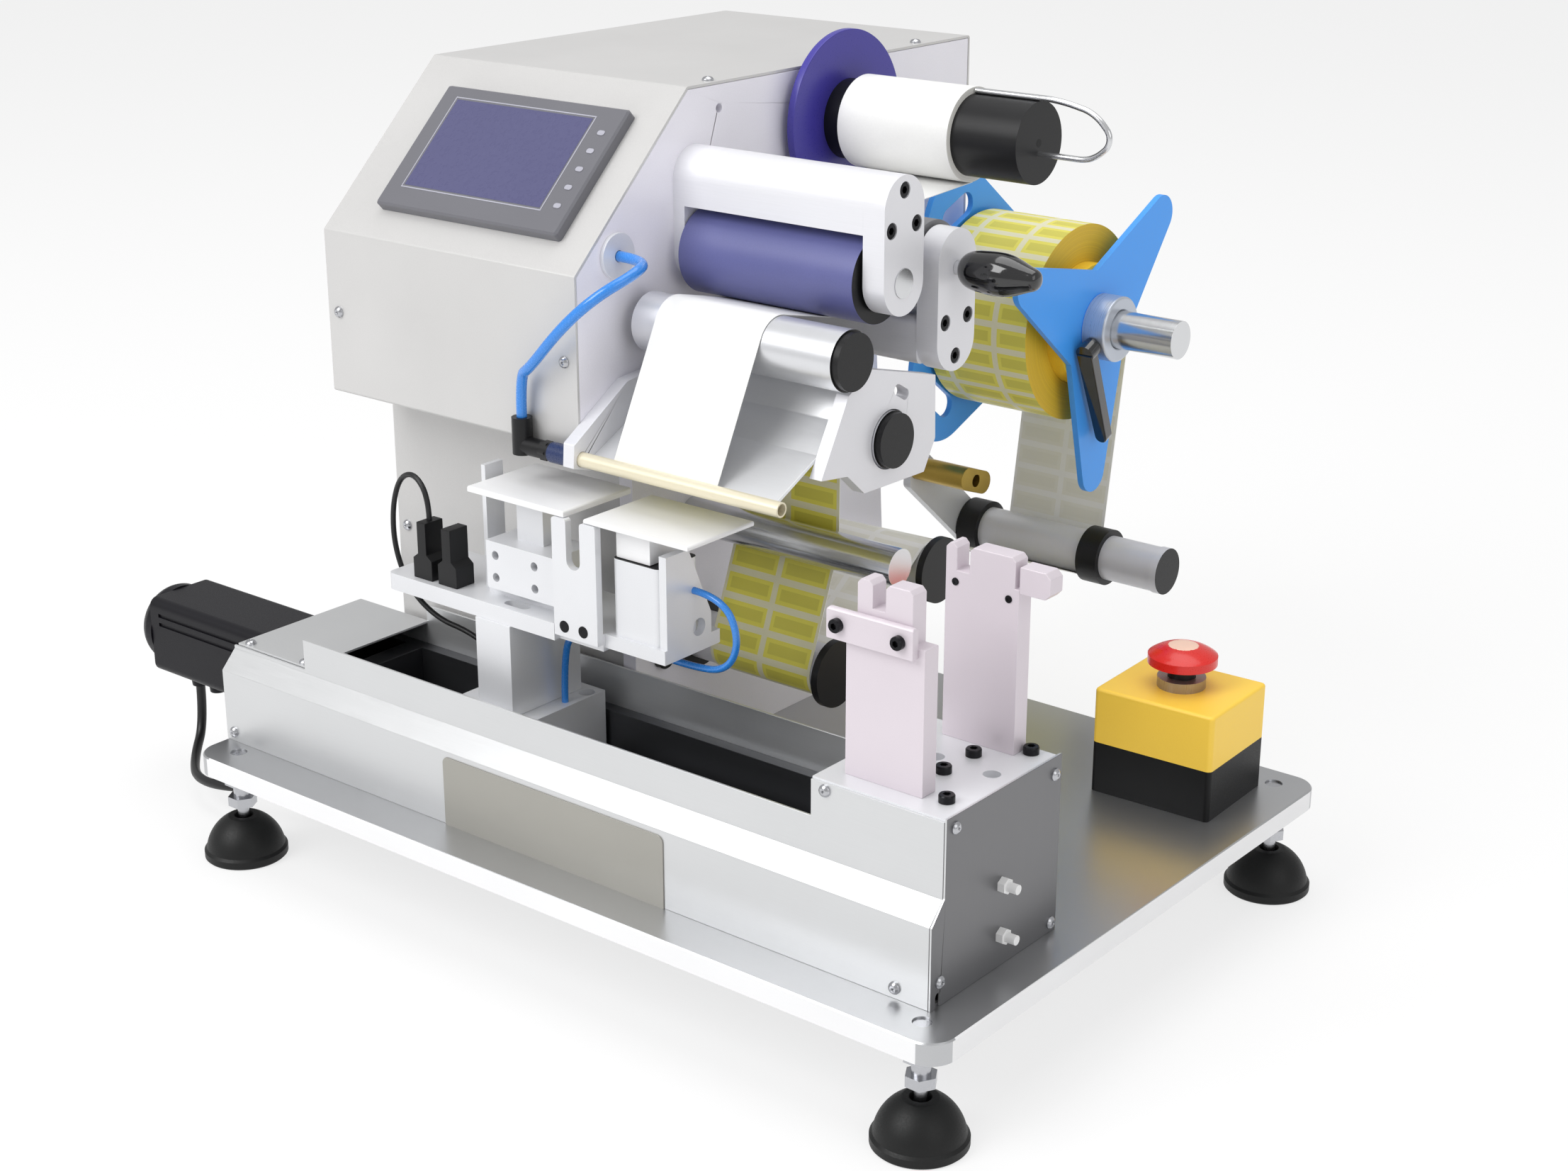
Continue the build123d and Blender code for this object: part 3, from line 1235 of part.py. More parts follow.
# Screws: black socket heads sunk in the brackets, bright pan heads on the sheets
with BuildPart() as socket_screws:
    sunk = bracket_right - screw_sink
    add(screw_heads([(sunk, y, z) for y, z in drive_screws + pressure_screws], (1, 0, 0), screw_head, 4.6, 2.6).part)
    clamp_face = front_post_face - post_thickness - 4.5
    add(screw_heads([(x, clamp_face, cable_z - 11) for x in (front_post_left - 2, front_post_left + 35)],
                    (0, -1, 0), 3.6, 3.4, 2.0).part)
    add(screw_heads([(rear_post_left + 6, rear_post_face, cable_z - 6), (rear_post_left + 38, rear_post_face, cable_z - 8)],
                    (0, -1, 0), 2.0, 0.5, 1.2).part)
    add(screw_heads([(wall_face, main_plate_front + 22, deck + 71)], (1, 0, 0), 6.7, 5, 3.4).part)
    add(screw_heads([(x, y, end_block_z) for x, y in end_block_screws],
                    (0, 0, 1), 4.2, 4.2, 2.4).part)
with BuildPart() as pan_screws:
    end_face = module_right + sheet
    for place, normal in (
        [((x, cabinet_front, cabinet_bottom + 49), (0, -1, 0)) for x in (cabinet_left + 9, wall_face - 9)]
        + [((x, y, cabinet_top), (0, 0, 1)) for x, y in ((wall_face - 6, 22), (wall_face - 6, 218))]
        + [((column_left + 9, column_front, deck + 117), (0, -1, 0))]
        + [((x, cover_front, deck + 6), (0, -1, 0)) for x in (-268, 230)]
        + [((178, upper_face, end_block_z - 5), (0, -1, 0))]
        + [((x, -150, deck + module_top_height + sheet), (0, 0, 1)) for x in (-266, -217)]
        + [((end_face, y, z), (1, 0, 0)) for y, z in ((-148.5, 159.5), (-61.8, 156.5), (-61, 73), (-159, 81))]
    ):
        with BuildSketch(Plane(origin=place, z_dir=normal)):
            Circle(3.4)
        extrude(amount=2.2, taper=24)
    for y, z in ((-107, 113), (-107, 85)):
        with BuildSketch(Plane(origin=(end_face, y, z), z_dir=(1, 0, 0))):
            RegularPolygon(4.4, 6)
        extrude(amount=4)
        with BuildSketch(Plane(origin=(end_face + 4, y, z), z_dir=(1, 0, 0))):
            Circle(2.6)
        extrude(amount=6)

pieces = {
    "base_plate": base_plate, "foot_stems": foot_stems, **foot_pads,
    "ball_screw": coupled_screw, "carriage_block": carriage_block,
    "module_cover": module_cover, "rear_cover": rear_cover, "end_block": end_block,
    "motor_lead": motor_lead, "slotted_bracket": slotted_bracket, "left_slide": left_slide,
    "left_fold_plate": left_fold_plate, "right_cylinder": right_cylinder, "right_fold_plate": right_fold_plate,
    "position_sensors": position_sensors, "sensor_lead": sensor_lead, "air_lines": air_lines,
    "column": column, "cabinet": cabinet, "main_plate": main_plate,
    "upper_guide_roller": upper_guide, "lower_guide_roller": lower_guide,
    "front_flanged_roller": front_flanged_roller, "rear_flanged_roller": rear_flanged_roller,
    "idler_roller": idler_roller, "drive_roller": drive_roller, "pressure_roller": pressure_roller,
    "release_knob": release_knob, "peel_plate": peel_plate, "air_tube": air_tube, "air_hose": air_hose,
    "estop_base": estop_base, "estop_button": estop_button, "reel_shaft": reel_shaft,
    "reel_inner_flange": reel_inner_flange, "clamp_lever": clamp_lever, "rewind_flange": rewind_flange,
    "rewind_core": rewind_core, "liner_roll": liner_roll, "wire_clip": wire_clip, "label_web": label_web,
    "socket_screws": socket_screws, "pan_screws": pan_screws,
}
for name, piece in pieces.items():
    piece.part.label = name
    export_step(piece.part, f"parts/{name}.step")
for several in (
    group("module_channel", module_channel, guide_rails), group("drive_motor", motor_body, motor_cap, motor_glands),
    group("unit_stand", stand_post, unit_plate), cable_posts, touch_panel, fixed_shafts, drive_bracket,
    pressure_bracket, guide_plates, air_fittings, estop_cover, idler_bracket, reel_outer_flange, label_roll,
):
    export_step(several, f"parts/{several.label}.step")
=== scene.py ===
"""Looks of the cable flag labelling machine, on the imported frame.

Lengths in this file are millimetres unless a name says otherwise; Blender's own are metres.
"""
import json
import logging
from dataclasses import dataclass, field
from enum import Enum
from functools import partial
from math import asin, atan2, cos, hypot, pi, radians, sin
from typing import Callable, Optional, Sequence

import bmesh
import bpy
from mathutils import Matrix, Vector

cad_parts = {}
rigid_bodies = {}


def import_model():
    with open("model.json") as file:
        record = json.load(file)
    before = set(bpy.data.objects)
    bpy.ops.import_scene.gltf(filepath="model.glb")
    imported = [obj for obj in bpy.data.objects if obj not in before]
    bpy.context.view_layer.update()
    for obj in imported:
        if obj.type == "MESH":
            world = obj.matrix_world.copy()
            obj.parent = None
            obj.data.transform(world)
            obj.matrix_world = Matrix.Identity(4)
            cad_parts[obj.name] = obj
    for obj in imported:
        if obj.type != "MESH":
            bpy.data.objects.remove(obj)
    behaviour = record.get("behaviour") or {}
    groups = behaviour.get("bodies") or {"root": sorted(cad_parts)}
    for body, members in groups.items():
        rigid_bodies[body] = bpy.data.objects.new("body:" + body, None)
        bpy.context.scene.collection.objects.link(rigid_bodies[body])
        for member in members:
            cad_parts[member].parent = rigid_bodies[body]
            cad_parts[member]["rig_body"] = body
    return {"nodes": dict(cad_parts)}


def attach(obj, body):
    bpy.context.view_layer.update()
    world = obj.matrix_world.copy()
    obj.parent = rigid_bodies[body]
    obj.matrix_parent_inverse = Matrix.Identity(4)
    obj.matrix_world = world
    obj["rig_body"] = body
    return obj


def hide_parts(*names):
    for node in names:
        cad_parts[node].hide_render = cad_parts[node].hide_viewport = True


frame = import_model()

logging.basicConfig(level=logging.INFO, format="%(message)s")
log = logging.getLogger("labelling machine")

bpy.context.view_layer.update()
MM = 0.001
Pair = tuple[float, float]
Point = tuple[float, float, float]
Four = tuple[float, float, float, float]
Mesh, Piece, Shell = bpy.types.Mesh, bpy.types.Object, bmesh.types.BMesh
Socket, Tree = bpy.types.NodeSocket, bpy.types.NodeTree
Rule = Callable[[Vector], int]

# Angles between faces: broken by an easing, shaded as a hard edge, and flat enough to be one face
BROKEN = radians(32)
HARD, HARD_TURNED, HARD_HEAD = radians(38), radians(40), radians(30)
FLAT = radians(0.6)
# Points of the solids that are nearer than this, in metres, are one
SAME_POINT = 2e-6
# Printed labels, in metres: pitch across the web and along it, gap between labels, gap round the print
LABEL_WIDE, LABEL_LONG, LABEL_GAP, PRINT_GAP = 0.0365, 0.0155, 0.0021, 0.0047
PRINT, PRINT_STRENGTH = "A49C3A", 2.5


def linear(hex_colour: str) -> Four:
    """Linear red, green, blue and alpha of an sRGB colour of six hexadecimal digits."""
    values = [int(hex_colour[at:at + 2], 16) / 255 for at in (0, 2, 4)]
    out = [v / 12.92 if v <= 0.04045 else ((v + 0.055) / 1.055) ** 2.4 for v in values]
    return (out[0], out[1], out[2], 1.0)


def add(tree: Tree, kind: str, inputs: Optional[dict] = None, **settings) -> bpy.types.Node:
    """Add a node with its settings, its constants and its links.

    Args:
        tree: the node tree.
        kind: the node's type name.
        inputs: socket name or number to a constant or to the socket that feeds it.
        settings: properties of the node.

    Returns:
        The new node.
    """
    made = tree.nodes.new(kind)
    for key, value in settings.items():
        setattr(made, key, value)
    for key, value in (inputs or {}).items():
        if isinstance(value, Socket):
            tree.links.new(value, made.inputs[key])
        else:
            made.inputs[key].default_value = value
    return made


class Surface(Enum):
    """How a surface was made, which sets its grain."""

    BRUSHED = "long streaks along one axis"
    TURNED = "fine rings round the X axis"
    SATIN = "even fine blasting under a clear oxide"
    PAINTED = "powder coat with a slight orange peel"
    MOULDED = "moulded plastic with a fine spark texture"
    RUBBER = "ground rubber"
    PAPER = "paper fibres"
    LABELS = "rows of bare labels on a pale liner"
    WOUND = "edges of many wound layers"
    SCREEN = "dark glass over an unlit display"
    THREAD = "rolled thread along X"


@dataclass(frozen=True)
class Finish:
    """One real finish and the node material that shows it."""

    surface: Surface
    name: str
    colour: str
    slot: str
    rough: float
    grain: float
    metallic: float = 0.0
    lay: int = 0
    bump: float = 0.05
    spread: float = 0.12
    second: str = "FFFFFF"
    coat: float = 0.0
    shine: float = 0.5
    centre: Pair = (0.0, 0.0)

    def scales(self) -> Point:
        """Repeats per metre along X, Y and Z for the grain."""
        fine = 1000 / self.grain
        if self.surface is Surface.BRUSHED:
            along = [fine, fine, fine]
            along[self.lay] = fine / 60
            return (along[0], along[1], along[2])
        if self.surface in (Surface.TURNED, Surface.THREAD):
            return (fine, fine / 80, fine / 80)
        return (fine, fine, fine)

    def base(self, tree: Tree, where: Socket,
             grain: Socket) -> Socket:
        """Colour of the surface.

        Args:
            tree: the material's tree.
            where: the coordinates the pattern reads.
            grain: the fine noise's value.

        Returns:
            The colour socket.
        """
        own = linear(self.colour)
        if self.surface is Surface.LABELS:
            label = {"Vector": where, "Scale": 1.0, "Brick Width": LABEL_WIDE, "Row Height": LABEL_LONG,
                     "Mortar Smooth": 0.1, "Bias": 0.0}
            tints = {"Color1": own, "Color2": own, "Mortar": linear(self.second)}
            rows = add(tree, "ShaderNodeTexBrick", {**label, **tints, "Mortar Size": LABEL_GAP}, offset=0.0)
            print_area = add(tree, "ShaderNodeTexBrick", {**label, "Mortar Size": PRINT_GAP}, offset=0.0)
            mask = add(tree, "ShaderNodeMath", {0: 1.0, 1: print_area.outputs["Fac"]}, operation="SUBTRACT")
            part = add(tree, "ShaderNodeMath", {0: mask.outputs[0], 1: PRINT_STRENGTH * self.spread},
                       operation="MULTIPLY")
            return add(tree, "ShaderNodeMix", {"Factor": part.outputs[0], "A": rows.outputs["Color"],
                                               "B": linear(PRINT)}, data_type="RGBA").outputs["Result"]
        if self.surface is Surface.WOUND:
            shift = (-self.centre[0] * MM, -self.centre[1] * MM)
            apart = add(tree, "ShaderNodeSeparateXYZ", {"Vector": where})
            across = add(tree, "ShaderNodeMath", {0: apart.outputs["Y"], 1: shift[0]}, operation="ADD")
            upward = add(tree, "ShaderNodeMath", {0: apart.outputs["Z"], 1: shift[1]}, operation="ADD")
            flat = add(tree, "ShaderNodeCombineXYZ", {"X": across.outputs[0], "Y": upward.outputs[0]})
            reach = add(tree, "ShaderNodeVectorMath", {0: flat.outputs[0]}, operation="LENGTH")
            layers = add(tree, "ShaderNodeTexNoise", {"W": reach.outputs["Value"], "Scale": 1000 / self.grain,
                                                      "Detail": 3.0}, noise_dimensions="1D")
            return add(tree, "ShaderNodeMix", {"Factor": layers.outputs["Fac"], "A": own,
                                               "B": linear(self.second)}, data_type="RGBA").outputs["Result"]
        wide = add(tree, "ShaderNodeTexNoise", {"Vector": where, "Scale": 14.0, "Detail": 3.0})
        both = add(tree, "ShaderNodeMix", {"Factor": 0.5, "A": wide.outputs["Fac"], "B": grain},
                   data_type="FLOAT")
        shade = tuple(channel * (1 - self.spread) for channel in own[:3]) + (1.0,)
        light = tuple(min(1.0, channel * (1 + self.spread * 0.7)) for channel in own[:3]) + (1.0,)
        ramp = add(tree, "ShaderNodeValToRGB", {"Fac": both.outputs["Result"]})
        for end, position, tint in zip(ramp.color_ramp.elements, (0.32, 0.68), (shade, light)):
            end.position = position
            end.color = tint
        return ramp.outputs["Color"]

    def build(self) -> bpy.types.Material:
        """Make this finish's material once and return it after that."""
        known = bpy.data.materials.get(self.name)
        if known:
            return known
        material = bpy.data.materials.new(self.name)
        material.use_nodes = True
        tree = material.node_tree
        tree.nodes.clear()
        own_uv = self.surface is Surface.LABELS
        spot = add(tree, "ShaderNodeTexCoord")
        where = spot.outputs["UV" if own_uv else "Object"]
        stretched = add(tree, "ShaderNodeMapping", {"Vector": where, "Scale": self.scales()})
        wear = 0.08 * (1 - 0.7 * self.metallic)
        noise = add(tree, "ShaderNodeTexNoise", {"Vector": stretched.outputs[0], "Scale": 1.0, "Detail": 4.0,
                                                 "Roughness": 0.55})
        dull = add(tree, "ShaderNodeMapRange", {
            "Value": noise.outputs["Fac"], "From Min": 0.3, "From Max": 0.7,
            "To Min": max(0.02, self.rough - wear), "To Max": self.rough + wear})
        height = noise.outputs["Fac"]
        if self.surface is Surface.THREAD:
            height = add(tree, "ShaderNodeTexWave", {
                "Vector": where, "Scale": 1000 / (20 * self.grain), "Distortion": 0.0},
                bands_direction="X").outputs["Fac"]
        bump = add(tree, "ShaderNodeBump", {"Height": height, "Strength": self.bump, "Distance": 0.0004})
        shader = add(tree, "ShaderNodeBsdfPrincipled", {
            "Base Color": self.base(tree, where, noise.outputs["Fac"]), "Roughness": dull.outputs["Result"],
            "Metallic": self.metallic, "Normal": bump.outputs["Normal"], "Coat Weight": self.coat,
            "Specular IOR Level": self.shine, "Coat Roughness": 0.08,
        })
        add(tree, "ShaderNodeOutputMaterial", {"Surface": shader.outputs["BSDF"]})
        material.diffuse_color = linear(self.colour)
        return material


# One maker for each surface, in the order of Surface
brushed, turned, satin, painted, moulded, rubber, paper, labels, wound, screen, thread = (
    partial(Finish, surface) for surface in Surface)

# Powder coated steel sheet: warm light grey, satin, a little orange peel near its edges
SHEET = painted("powder_coated_sheet", "CDCCCB", "painted_sheet", 0.36, 0.7, 0.25, spread=0.05)
# Main plate: the same coat over ground aluminium, a shade lighter
WALL = painted("coated_main_plate", "EEECF4", "painted_sheet", 0.42, 0.8, 0.1, spread=0.05)
# Cold rolled stainless cover, brushed along its length
COVER = brushed("brushed_stainless_cover", "D8D9DA", "brushed_cover", 0.36, 0.4, 0.75, 0, 0.02, 0.03)
# The same sheet at the module's end, darker: painted shade for the faces that look away from the lamps and
# reflect the dark side of the room
PAINTED_SHADE_END = brushed("shaded_end_sheet", "7C7C7E", "brushed_cover", 0.4, 0.4, 0.8, 2, 0.02, 0.03)
# Ground and polished aluminium base plate
PLATE = brushed("ground_aluminium_plate", "C0C1C3", "polished_plate", 0.32, 0.4, 0.9, 0, 0.015, 0.03)
# The same plate's sawn and sanded edge, duller and paler
PLATE_EDGE = satin("sanded_plate_edge", "EEEEEF", "polished_plate", 0.5, 0.5, 0.15, bump=0.02, spread=0.03)
# Milled and clear anodised aluminium: silver with a soft even sheen
ANODISED = satin(
    "clear_anodised_aluminium", "E4E5E8", "anodised_aluminium", 0.4, 0.5, 0.3, bump=0.03, spread=0.05)
BRACKET = brushed("milled_bracket_aluminium", "E6E6EA", "anodised_aluminium", 0.4, 0.5, 0.25, 0, 0.02, 0.03)
# Fold plates: hard anodised and pale, dull so that the label shows no mirror image
FOLD = brushed("pale_fold_plates", "F2F2F3", "anodised_aluminium", 0.45, 0.5, 0.15, 0, 0.02, 0.03)
# Posts: thick satin oxide that looks pale and faintly pink
POSTS = satin("pale_anodised_posts", "DAD1D8", "pale_posts", 0.45, 0.5, 0.2, bump=0.03, spread=0.04)
TROUGH = brushed("extruded_aluminium_channel", "5C5D60", "anodised_aluminium", 0.4, 0.5, 0.9, 0, 0.03, 0.06)
# Turned steel: bright, with fine rings from the lathe
TURNED = turned("turned_bright_steel", "D9DADC", "bright_steel", 0.2, 0.4, 0.95, bump=0.01, spread=0.03)
SCREW_THREAD = thread("rolled_ball_screw", "B8B9BC", "bright_steel", 0.22, 5.0, 1.0, bump=0.8, spread=0.1)
PEEL = brushed("bright_bent_sheet", "ECEDEF", "bright_steel", 0.34, 0.4, 0.55, 0, 0.01, 0.02)
ROLLER = turned(
    "turned_aluminium_roller", "DDDEE1", "anodised_aluminium", 0.32, 0.4, 0.7, bump=0.01, spread=0.02)
GREY_TUBE = turned("grey_coated_tube", "DADADF", "grey_rubber", 0.38, 0.4, 0.2, bump=0.01, spread=0.03)
# Polyurethane drive roller: muted violet blue, ground
DRIVE = rubber("ground_polyurethane", "5D6094", "blue_rubber", 0.4, 0.6, bump=0.06)
NIP = rubber("ground_grey_rubber", "77777A", "grey_rubber", 0.5, 0.6, bump=0.06)
BLACK = moulded("black_acetal", "121214", "black_plastic", 0.4, 0.5, spread=0.25, shine=0.35)
GLOSS_BLACK = moulded(
    "polished_black_resin", "101012", "black_plastic", 0.1, 0.6, bump=0.02, spread=0.2, coat=0.8)
# Motor: semi-gloss black enamel on cast and extruded aluminium
MOTOR = painted("black_motor_enamel", "121117", "black_motor", 0.42, 0.6, bump=0.07, spread=0.2, shine=0.25)
JACKET = moulded("black_cable_jacket", "101012", "black_cable", 0.42, 0.5, spread=0.2)
PAD = rubber("moulded_pad_rubber", "101111", "black_rubber", 0.5, 0.8, bump=0.08, spread=0.25, shine=0.35)
HOSE = moulded("blue_polyurethane_hose", "2F86DE", "blue_hose", 0.24, 0.8, bump=0.02, spread=0.08, coat=0.5)
GROMMET = moulded("blue_push_fitting", "26355F", "fitting_plastic", 0.3, 0.6, bump=0.03)
# Air tube: drawn brass gone pale
TUBE = turned("pale_drawn_brass", "E6DEC4", "brass_tube", 0.36, 0.4, 0.3, bump=0.01, spread=0.02)
BRASS = satin("cast_brass_clamp", "B99C4A", "anodised_aluminium", 0.35, 0.6, 0.9)
AMBER = moulded("amber_box_plastic", "FFD24C", "amber_plastic", 0.4, 0.6, spread=0.05)
STOP_BLACK = moulded(
    "black_box_plastic", "0C0C0D", "black_plastic", 0.42, 0.6, bump=0.06, spread=0.2, shine=0.25)
RED = moulded("red_mushroom_plastic", "D8180C", "red_plastic", 0.32, 0.8, bump=0.03, spread=0.06, coat=0.3)
# Pale centre of the red button's top: a painted highlight on the red plastic
PAINTED_HIGHLIGHT = moulded("pale_button_centre", "F0C9B4", "red_plastic", 0.4, 0.8, bump=0.02, spread=0.04)
BLUE_FLANGE = moulded("blue_flange_sheet", "44A0FA", "blue_flange", 0.36, 0.8, bump=0.03, spread=0.05)
PURPLE = moulded("violet_flange_disc", "413A99", "purple_flange", 0.34, 0.8, bump=0.03, spread=0.08)
HUB = turned("grey_blue_hub", "C2C8D2", "blue_flange", 0.3, 0.4, 0.6, bump=0.01, spread=0.03)
LABELS = labels("film_labels_on_liner", "EEE560", "label_paper", 0.4, 1.0, bump=0.02, second="EAE6C4")
ROLL_EDGE = wound(
    "wound_label_edge", "E8C531", "label_paper", 0.55, 0.9, second="C9A12A", centre=(253.2, 298.0))
CORE = paper("yellow_board_core", "E9C02B", "label_paper", 0.6, 0.8, bump=0.08)
LINER = paper("white_glassine_liner", "EDEDEB", "liner_paper", 0.42, 1.2, bump=0.04, spread=0.03)
LINER_BACK = labels(
    "back_of_labelled_liner", "F4F2E6", "label_paper", 0.45, 1.0, bump=0.02, spread=0.02, second="FCFBF6")
LINER_EDGE = wound(
    "wound_liner_edge", "EFEEE9", "liner_paper", 0.6, 1.0, bump=0.04, second="C9C8C2", centre=(129.7, 431.1))
SCREEN = screen("unlit_display_glass", "555578", "panel_plastic", 0.3, 3.0, bump=0.0, spread=0.04, shine=0.3)
BEZEL = moulded("grey_panel_bezel", "6A6A70", "panel_plastic", 0.42, 0.5, spread=0.06)
RIM = moulded("light_panel_line", "A9A9B4", "panel_plastic", 0.4, 0.5, bump=0.02)
NICKEL = turned("nickel_plated_collar", "A39A92", "black_plastic", 0.3, 0.4, 0.7, bump=0.01, spread=0.04)
SOCKET = satin("black_oxide_screw", "1D1D20", "black_screws", 0.3, 0.5, 0.7, spread=0.2)
ZINC = satin("zinc_plated_screw", "BFC0C4", "bright_screws", 0.24, 0.5, 1.0, bump=0.04)
NAME = brushed("bare_name_plate", "A8A69F", "brushed_cover", 0.4, 0.4, 0.5, 0, 0.02, 0.04)


def mesh_of(name: str, shell: Shell) -> Mesh:
    """Turn a shell to a mesh and free the shell."""
    mesh = bpy.data.meshes.new(name)
    shell.to_mesh(mesh)
    shell.free()
    return mesh


def put(name: str, data: bpy.types.ID) -> Piece:
    """Stand an object of some data in the scene."""
    made = bpy.data.objects.new(name, data)
    bpy.context.scene.collection.objects.link(made)
    return made


def new_piece(name: str, mesh: Mesh, body: str, finishes: Sequence[Finish],
              stands_for: Sequence[str] = ()) -> Piece:
    """Put a finished mesh in the scene as a piece.

    Args:
        name: the piece's name.
        mesh: its mesh, in metres and in place.
        body: the CAD body that it rides on.
        finishes: its finishes, in the order of its material numbers.
        stands_for: CAD nodes that it replaces.

    Returns:
        The new object.
    """
    piece = put(name, mesh)
    if not mesh.materials:
        for finish in finishes:
            mesh.materials.append(finish.build())
    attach(piece, body)
    if stands_for:
        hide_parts(*stands_for)
    log.info("%s rides on %s", name, body)
    return piece


def settle(obj: Piece) -> Mesh:
    """Turn an object with modifiers to a plain mesh and remove the object."""
    bpy.context.view_layer.update()
    depsgraph = bpy.context.evaluated_depsgraph_get()
    mesh = bpy.data.meshes.new_from_object(obj.evaluated_get(depsgraph), depsgraph=depsgraph)
    bpy.data.objects.remove(obj)
    return mesh


def eased(name: str, shell: Shell, edge: float) -> Mesh:
    """Round the sharp edges of a shell a little, as a maker breaks them.

    Args:
        name: the mesh's name.
        shell: the shell; it is freed.
        edge: width of the broken edge.

    Returns:
        The finished mesh, shaded smooth but for its sharp edges.
    """
    mesh = mesh_of(name, shell)
    mesh.shade_smooth()
    if edge > 0:
        holder = put(name + "_raw", mesh)
        bevel = holder.modifiers.new("broken edge", "BEVEL")
        bevel.width = edge * MM
        bevel.segments = 2
        bevel.limit_method = "ANGLE"
        bevel.angle_limit = BROKEN
        holder.modifiers.new("even normals", "WEIGHTED_NORMAL").keep_sharp = True
        mesh = settle(holder)
        mesh.name = name
    mesh.set_sharp_from_angle(angle=HARD)
    return mesh


def solids_of(node: str) -> list[Shell]:
    """Merged copies of a CAD node's separate solids, one shell for each, from left to right."""
    whole = bmesh.new()
    whole.from_mesh(frame["nodes"][node].data)
    bmesh.ops.remove_doubles(whole, verts=whole.verts, dist=SAME_POINT)
    left = set(whole.verts)
    groups = []
    while left:
        front = [left.pop()]
        found = {front[0]}
        while front:
            for edge in front.pop().link_edges:
                for vert in edge.verts:
                    if vert not in found:
                        found.add(vert)
                        front.append(vert)
        left -= found
        groups.append(found)
    groups.sort(key=lambda verts: tuple(round(min(v.co[axis] for v in verts), 4) for axis in (0, 2)))
    shells = []
    for verts in groups:
        shell = bmesh.new()
        copies = {v: shell.verts.new(v.co) for v in verts}
        for face in {f for v in verts for f in v.link_faces}:
            shell.faces.new([copies[v] for v in face.verts])
        bmesh.ops.dissolve_limit(shell, angle_limit=FLAT, verts=shell.verts, edges=shell.edges)
        shells.append(shell)
    whole.free()
    return shells


def dress(node: str, finishes: Sequence[Finish], edge: float = 0.4, rule: Optional[Rule] = None,
          by_solid: Optional[Sequence[int]] = None) -> Piece:
    """Stand an eased copy in for a CAD node and give it its finishes.

    Args:
        node: the CAD node's name.
        finishes: the finishes that it shows.
        edge: width of its broken edges.
        rule: gives a finish's number from a face's middle in millimetres.
        by_solid: the finish's number for each solid, from left to right.

    Returns:
        The piece.
    """
    joined = bmesh.new()
    for place, shell in enumerate(solids_of(node)):
        mesh = eased(f"{node}_{place}", shell, edge)
        start = len(joined.faces)
        joined.from_mesh(mesh)
        joined.faces.ensure_lookup_table()
        for face in joined.faces[start:]:
            face.material_index = by_solid[place] if by_solid else 0
            if rule:
                face.material_index = rule(face.calc_center_median() / MM)
        bpy.data.meshes.remove(mesh)
    mesh = mesh_of(node + "_shape", joined)
    for finish in finishes:
        mesh.materials.append(finish.build())
    mesh.set_sharp_from_angle(angle=HARD)
    holder = put(node + "_joined", mesh)
    holder.modifiers.new("even normals", "WEIGHTED_NORMAL").keep_sharp = True
    mesh = settle(holder)
    return new_piece(node + "_piece", mesh, frame["nodes"][node]["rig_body"], finishes, [node])


def lathe(name: str, y: float, z: float, outline: Sequence[tuple[float, float, int]], body: str,
          finishes: Sequence[Finish], stands_for: Sequence[str] = (), steps: int = 96) -> Piece:
    """Piece turned about an axis along X, with its own map of lengths.

    Args:
        name: the piece's name.
        y: the axis's place along Y.
        z: the axis's height.
        outline: closed outline as (x, radius, finish of the edge that starts here).
        body: the body that it rides on.
        finishes: the finishes that it shows.
        stands_for: CAD nodes that it replaces.
        steps: facets round the axis.

    Returns:
        The piece.
    """
    shell = bmesh.new()
    rings = []
    for turn in range(steps):
        angle = 2 * pi * turn / steps
        rings.append([shell.verts.new((x * MM, (y + r * cos(angle)) * MM, (z + r * sin(angle)) * MM))
                      for x, r, _ in outline])
    lengths = shell.loops.layers.uv.new("lengths")
    for turn in range(steps):
        here, after = rings[turn], rings[(turn + 1) % steps]
        for at, (x, r, finish) in enumerate(outline):
            onward = (at + 1) % len(outline)
            face = shell.faces.new((here[at], here[onward], after[onward], after[at]))
            face.material_index = finish
            face.smooth = True
            reach = max(r, outline[onward][1])
            corners = ((at, turn), (onward, turn), (onward, turn + 1), (at, turn + 1))
            for loop, (place, step) in zip(face.loops, corners):
                loop[lengths].uv = (outline[place][0] * MM, 2 * pi * step / steps * reach * MM)
    bmesh.ops.recalc_face_normals(shell, faces=shell.faces)
    mesh = mesh_of(name, shell)
    mesh.set_sharp_from_angle(angle=HARD_TURNED)
    return new_piece(name, mesh, body, finishes, stands_for)


def slab(name: str, plane: Matrix, outline: Sequence[Pair], thick: float, body: str,
         finish: Finish, edge: float = 0.3) -> Piece:
    """Flat plate with an outline, standing on a plane.

    Args:
        name: the piece's name.
        plane: places the outline's own X, Y and Z in the machine, in millimetres.
        outline: corners in the plane, counter-clockwise.
        thick: thickness along the plane's Z.
        body: the body that it rides on.
        finish: its finish.
        edge: width of its broken edges.

    Returns:
        The piece.
    """
    shell = bmesh.new()
    low = [shell.verts.new(plane @ Vector((x, y, 0)) * MM) for x, y in outline]
    high = [shell.verts.new(plane @ Vector((x, y, thick)) * MM) for x, y in outline]
    shell.faces.new(list(reversed(low)))
    shell.faces.new(high)
    for at in range(len(outline)):
        after = (at + 1) % len(outline)
        shell.faces.new((low[at], low[after], high[after], high[at]))
    bmesh.ops.recalc_face_normals(shell, faces=shell.faces)
    return new_piece(name, eased(name, shell, edge), body, [finish])


def right_end(node: str) -> float:
    """Place of a CAD node's right end along X."""
    return max(v.co.x for v in frame["nodes"][node].data.vertices) / MM


def box(x: float, y: float, wide: float, tall: float) -> list[Pair]:
    """Outline of a plain rectangle, counter-clockwise."""
    return [(x, y), (x + wide, y), (x + wide, y + tall), (x, y + tall)]


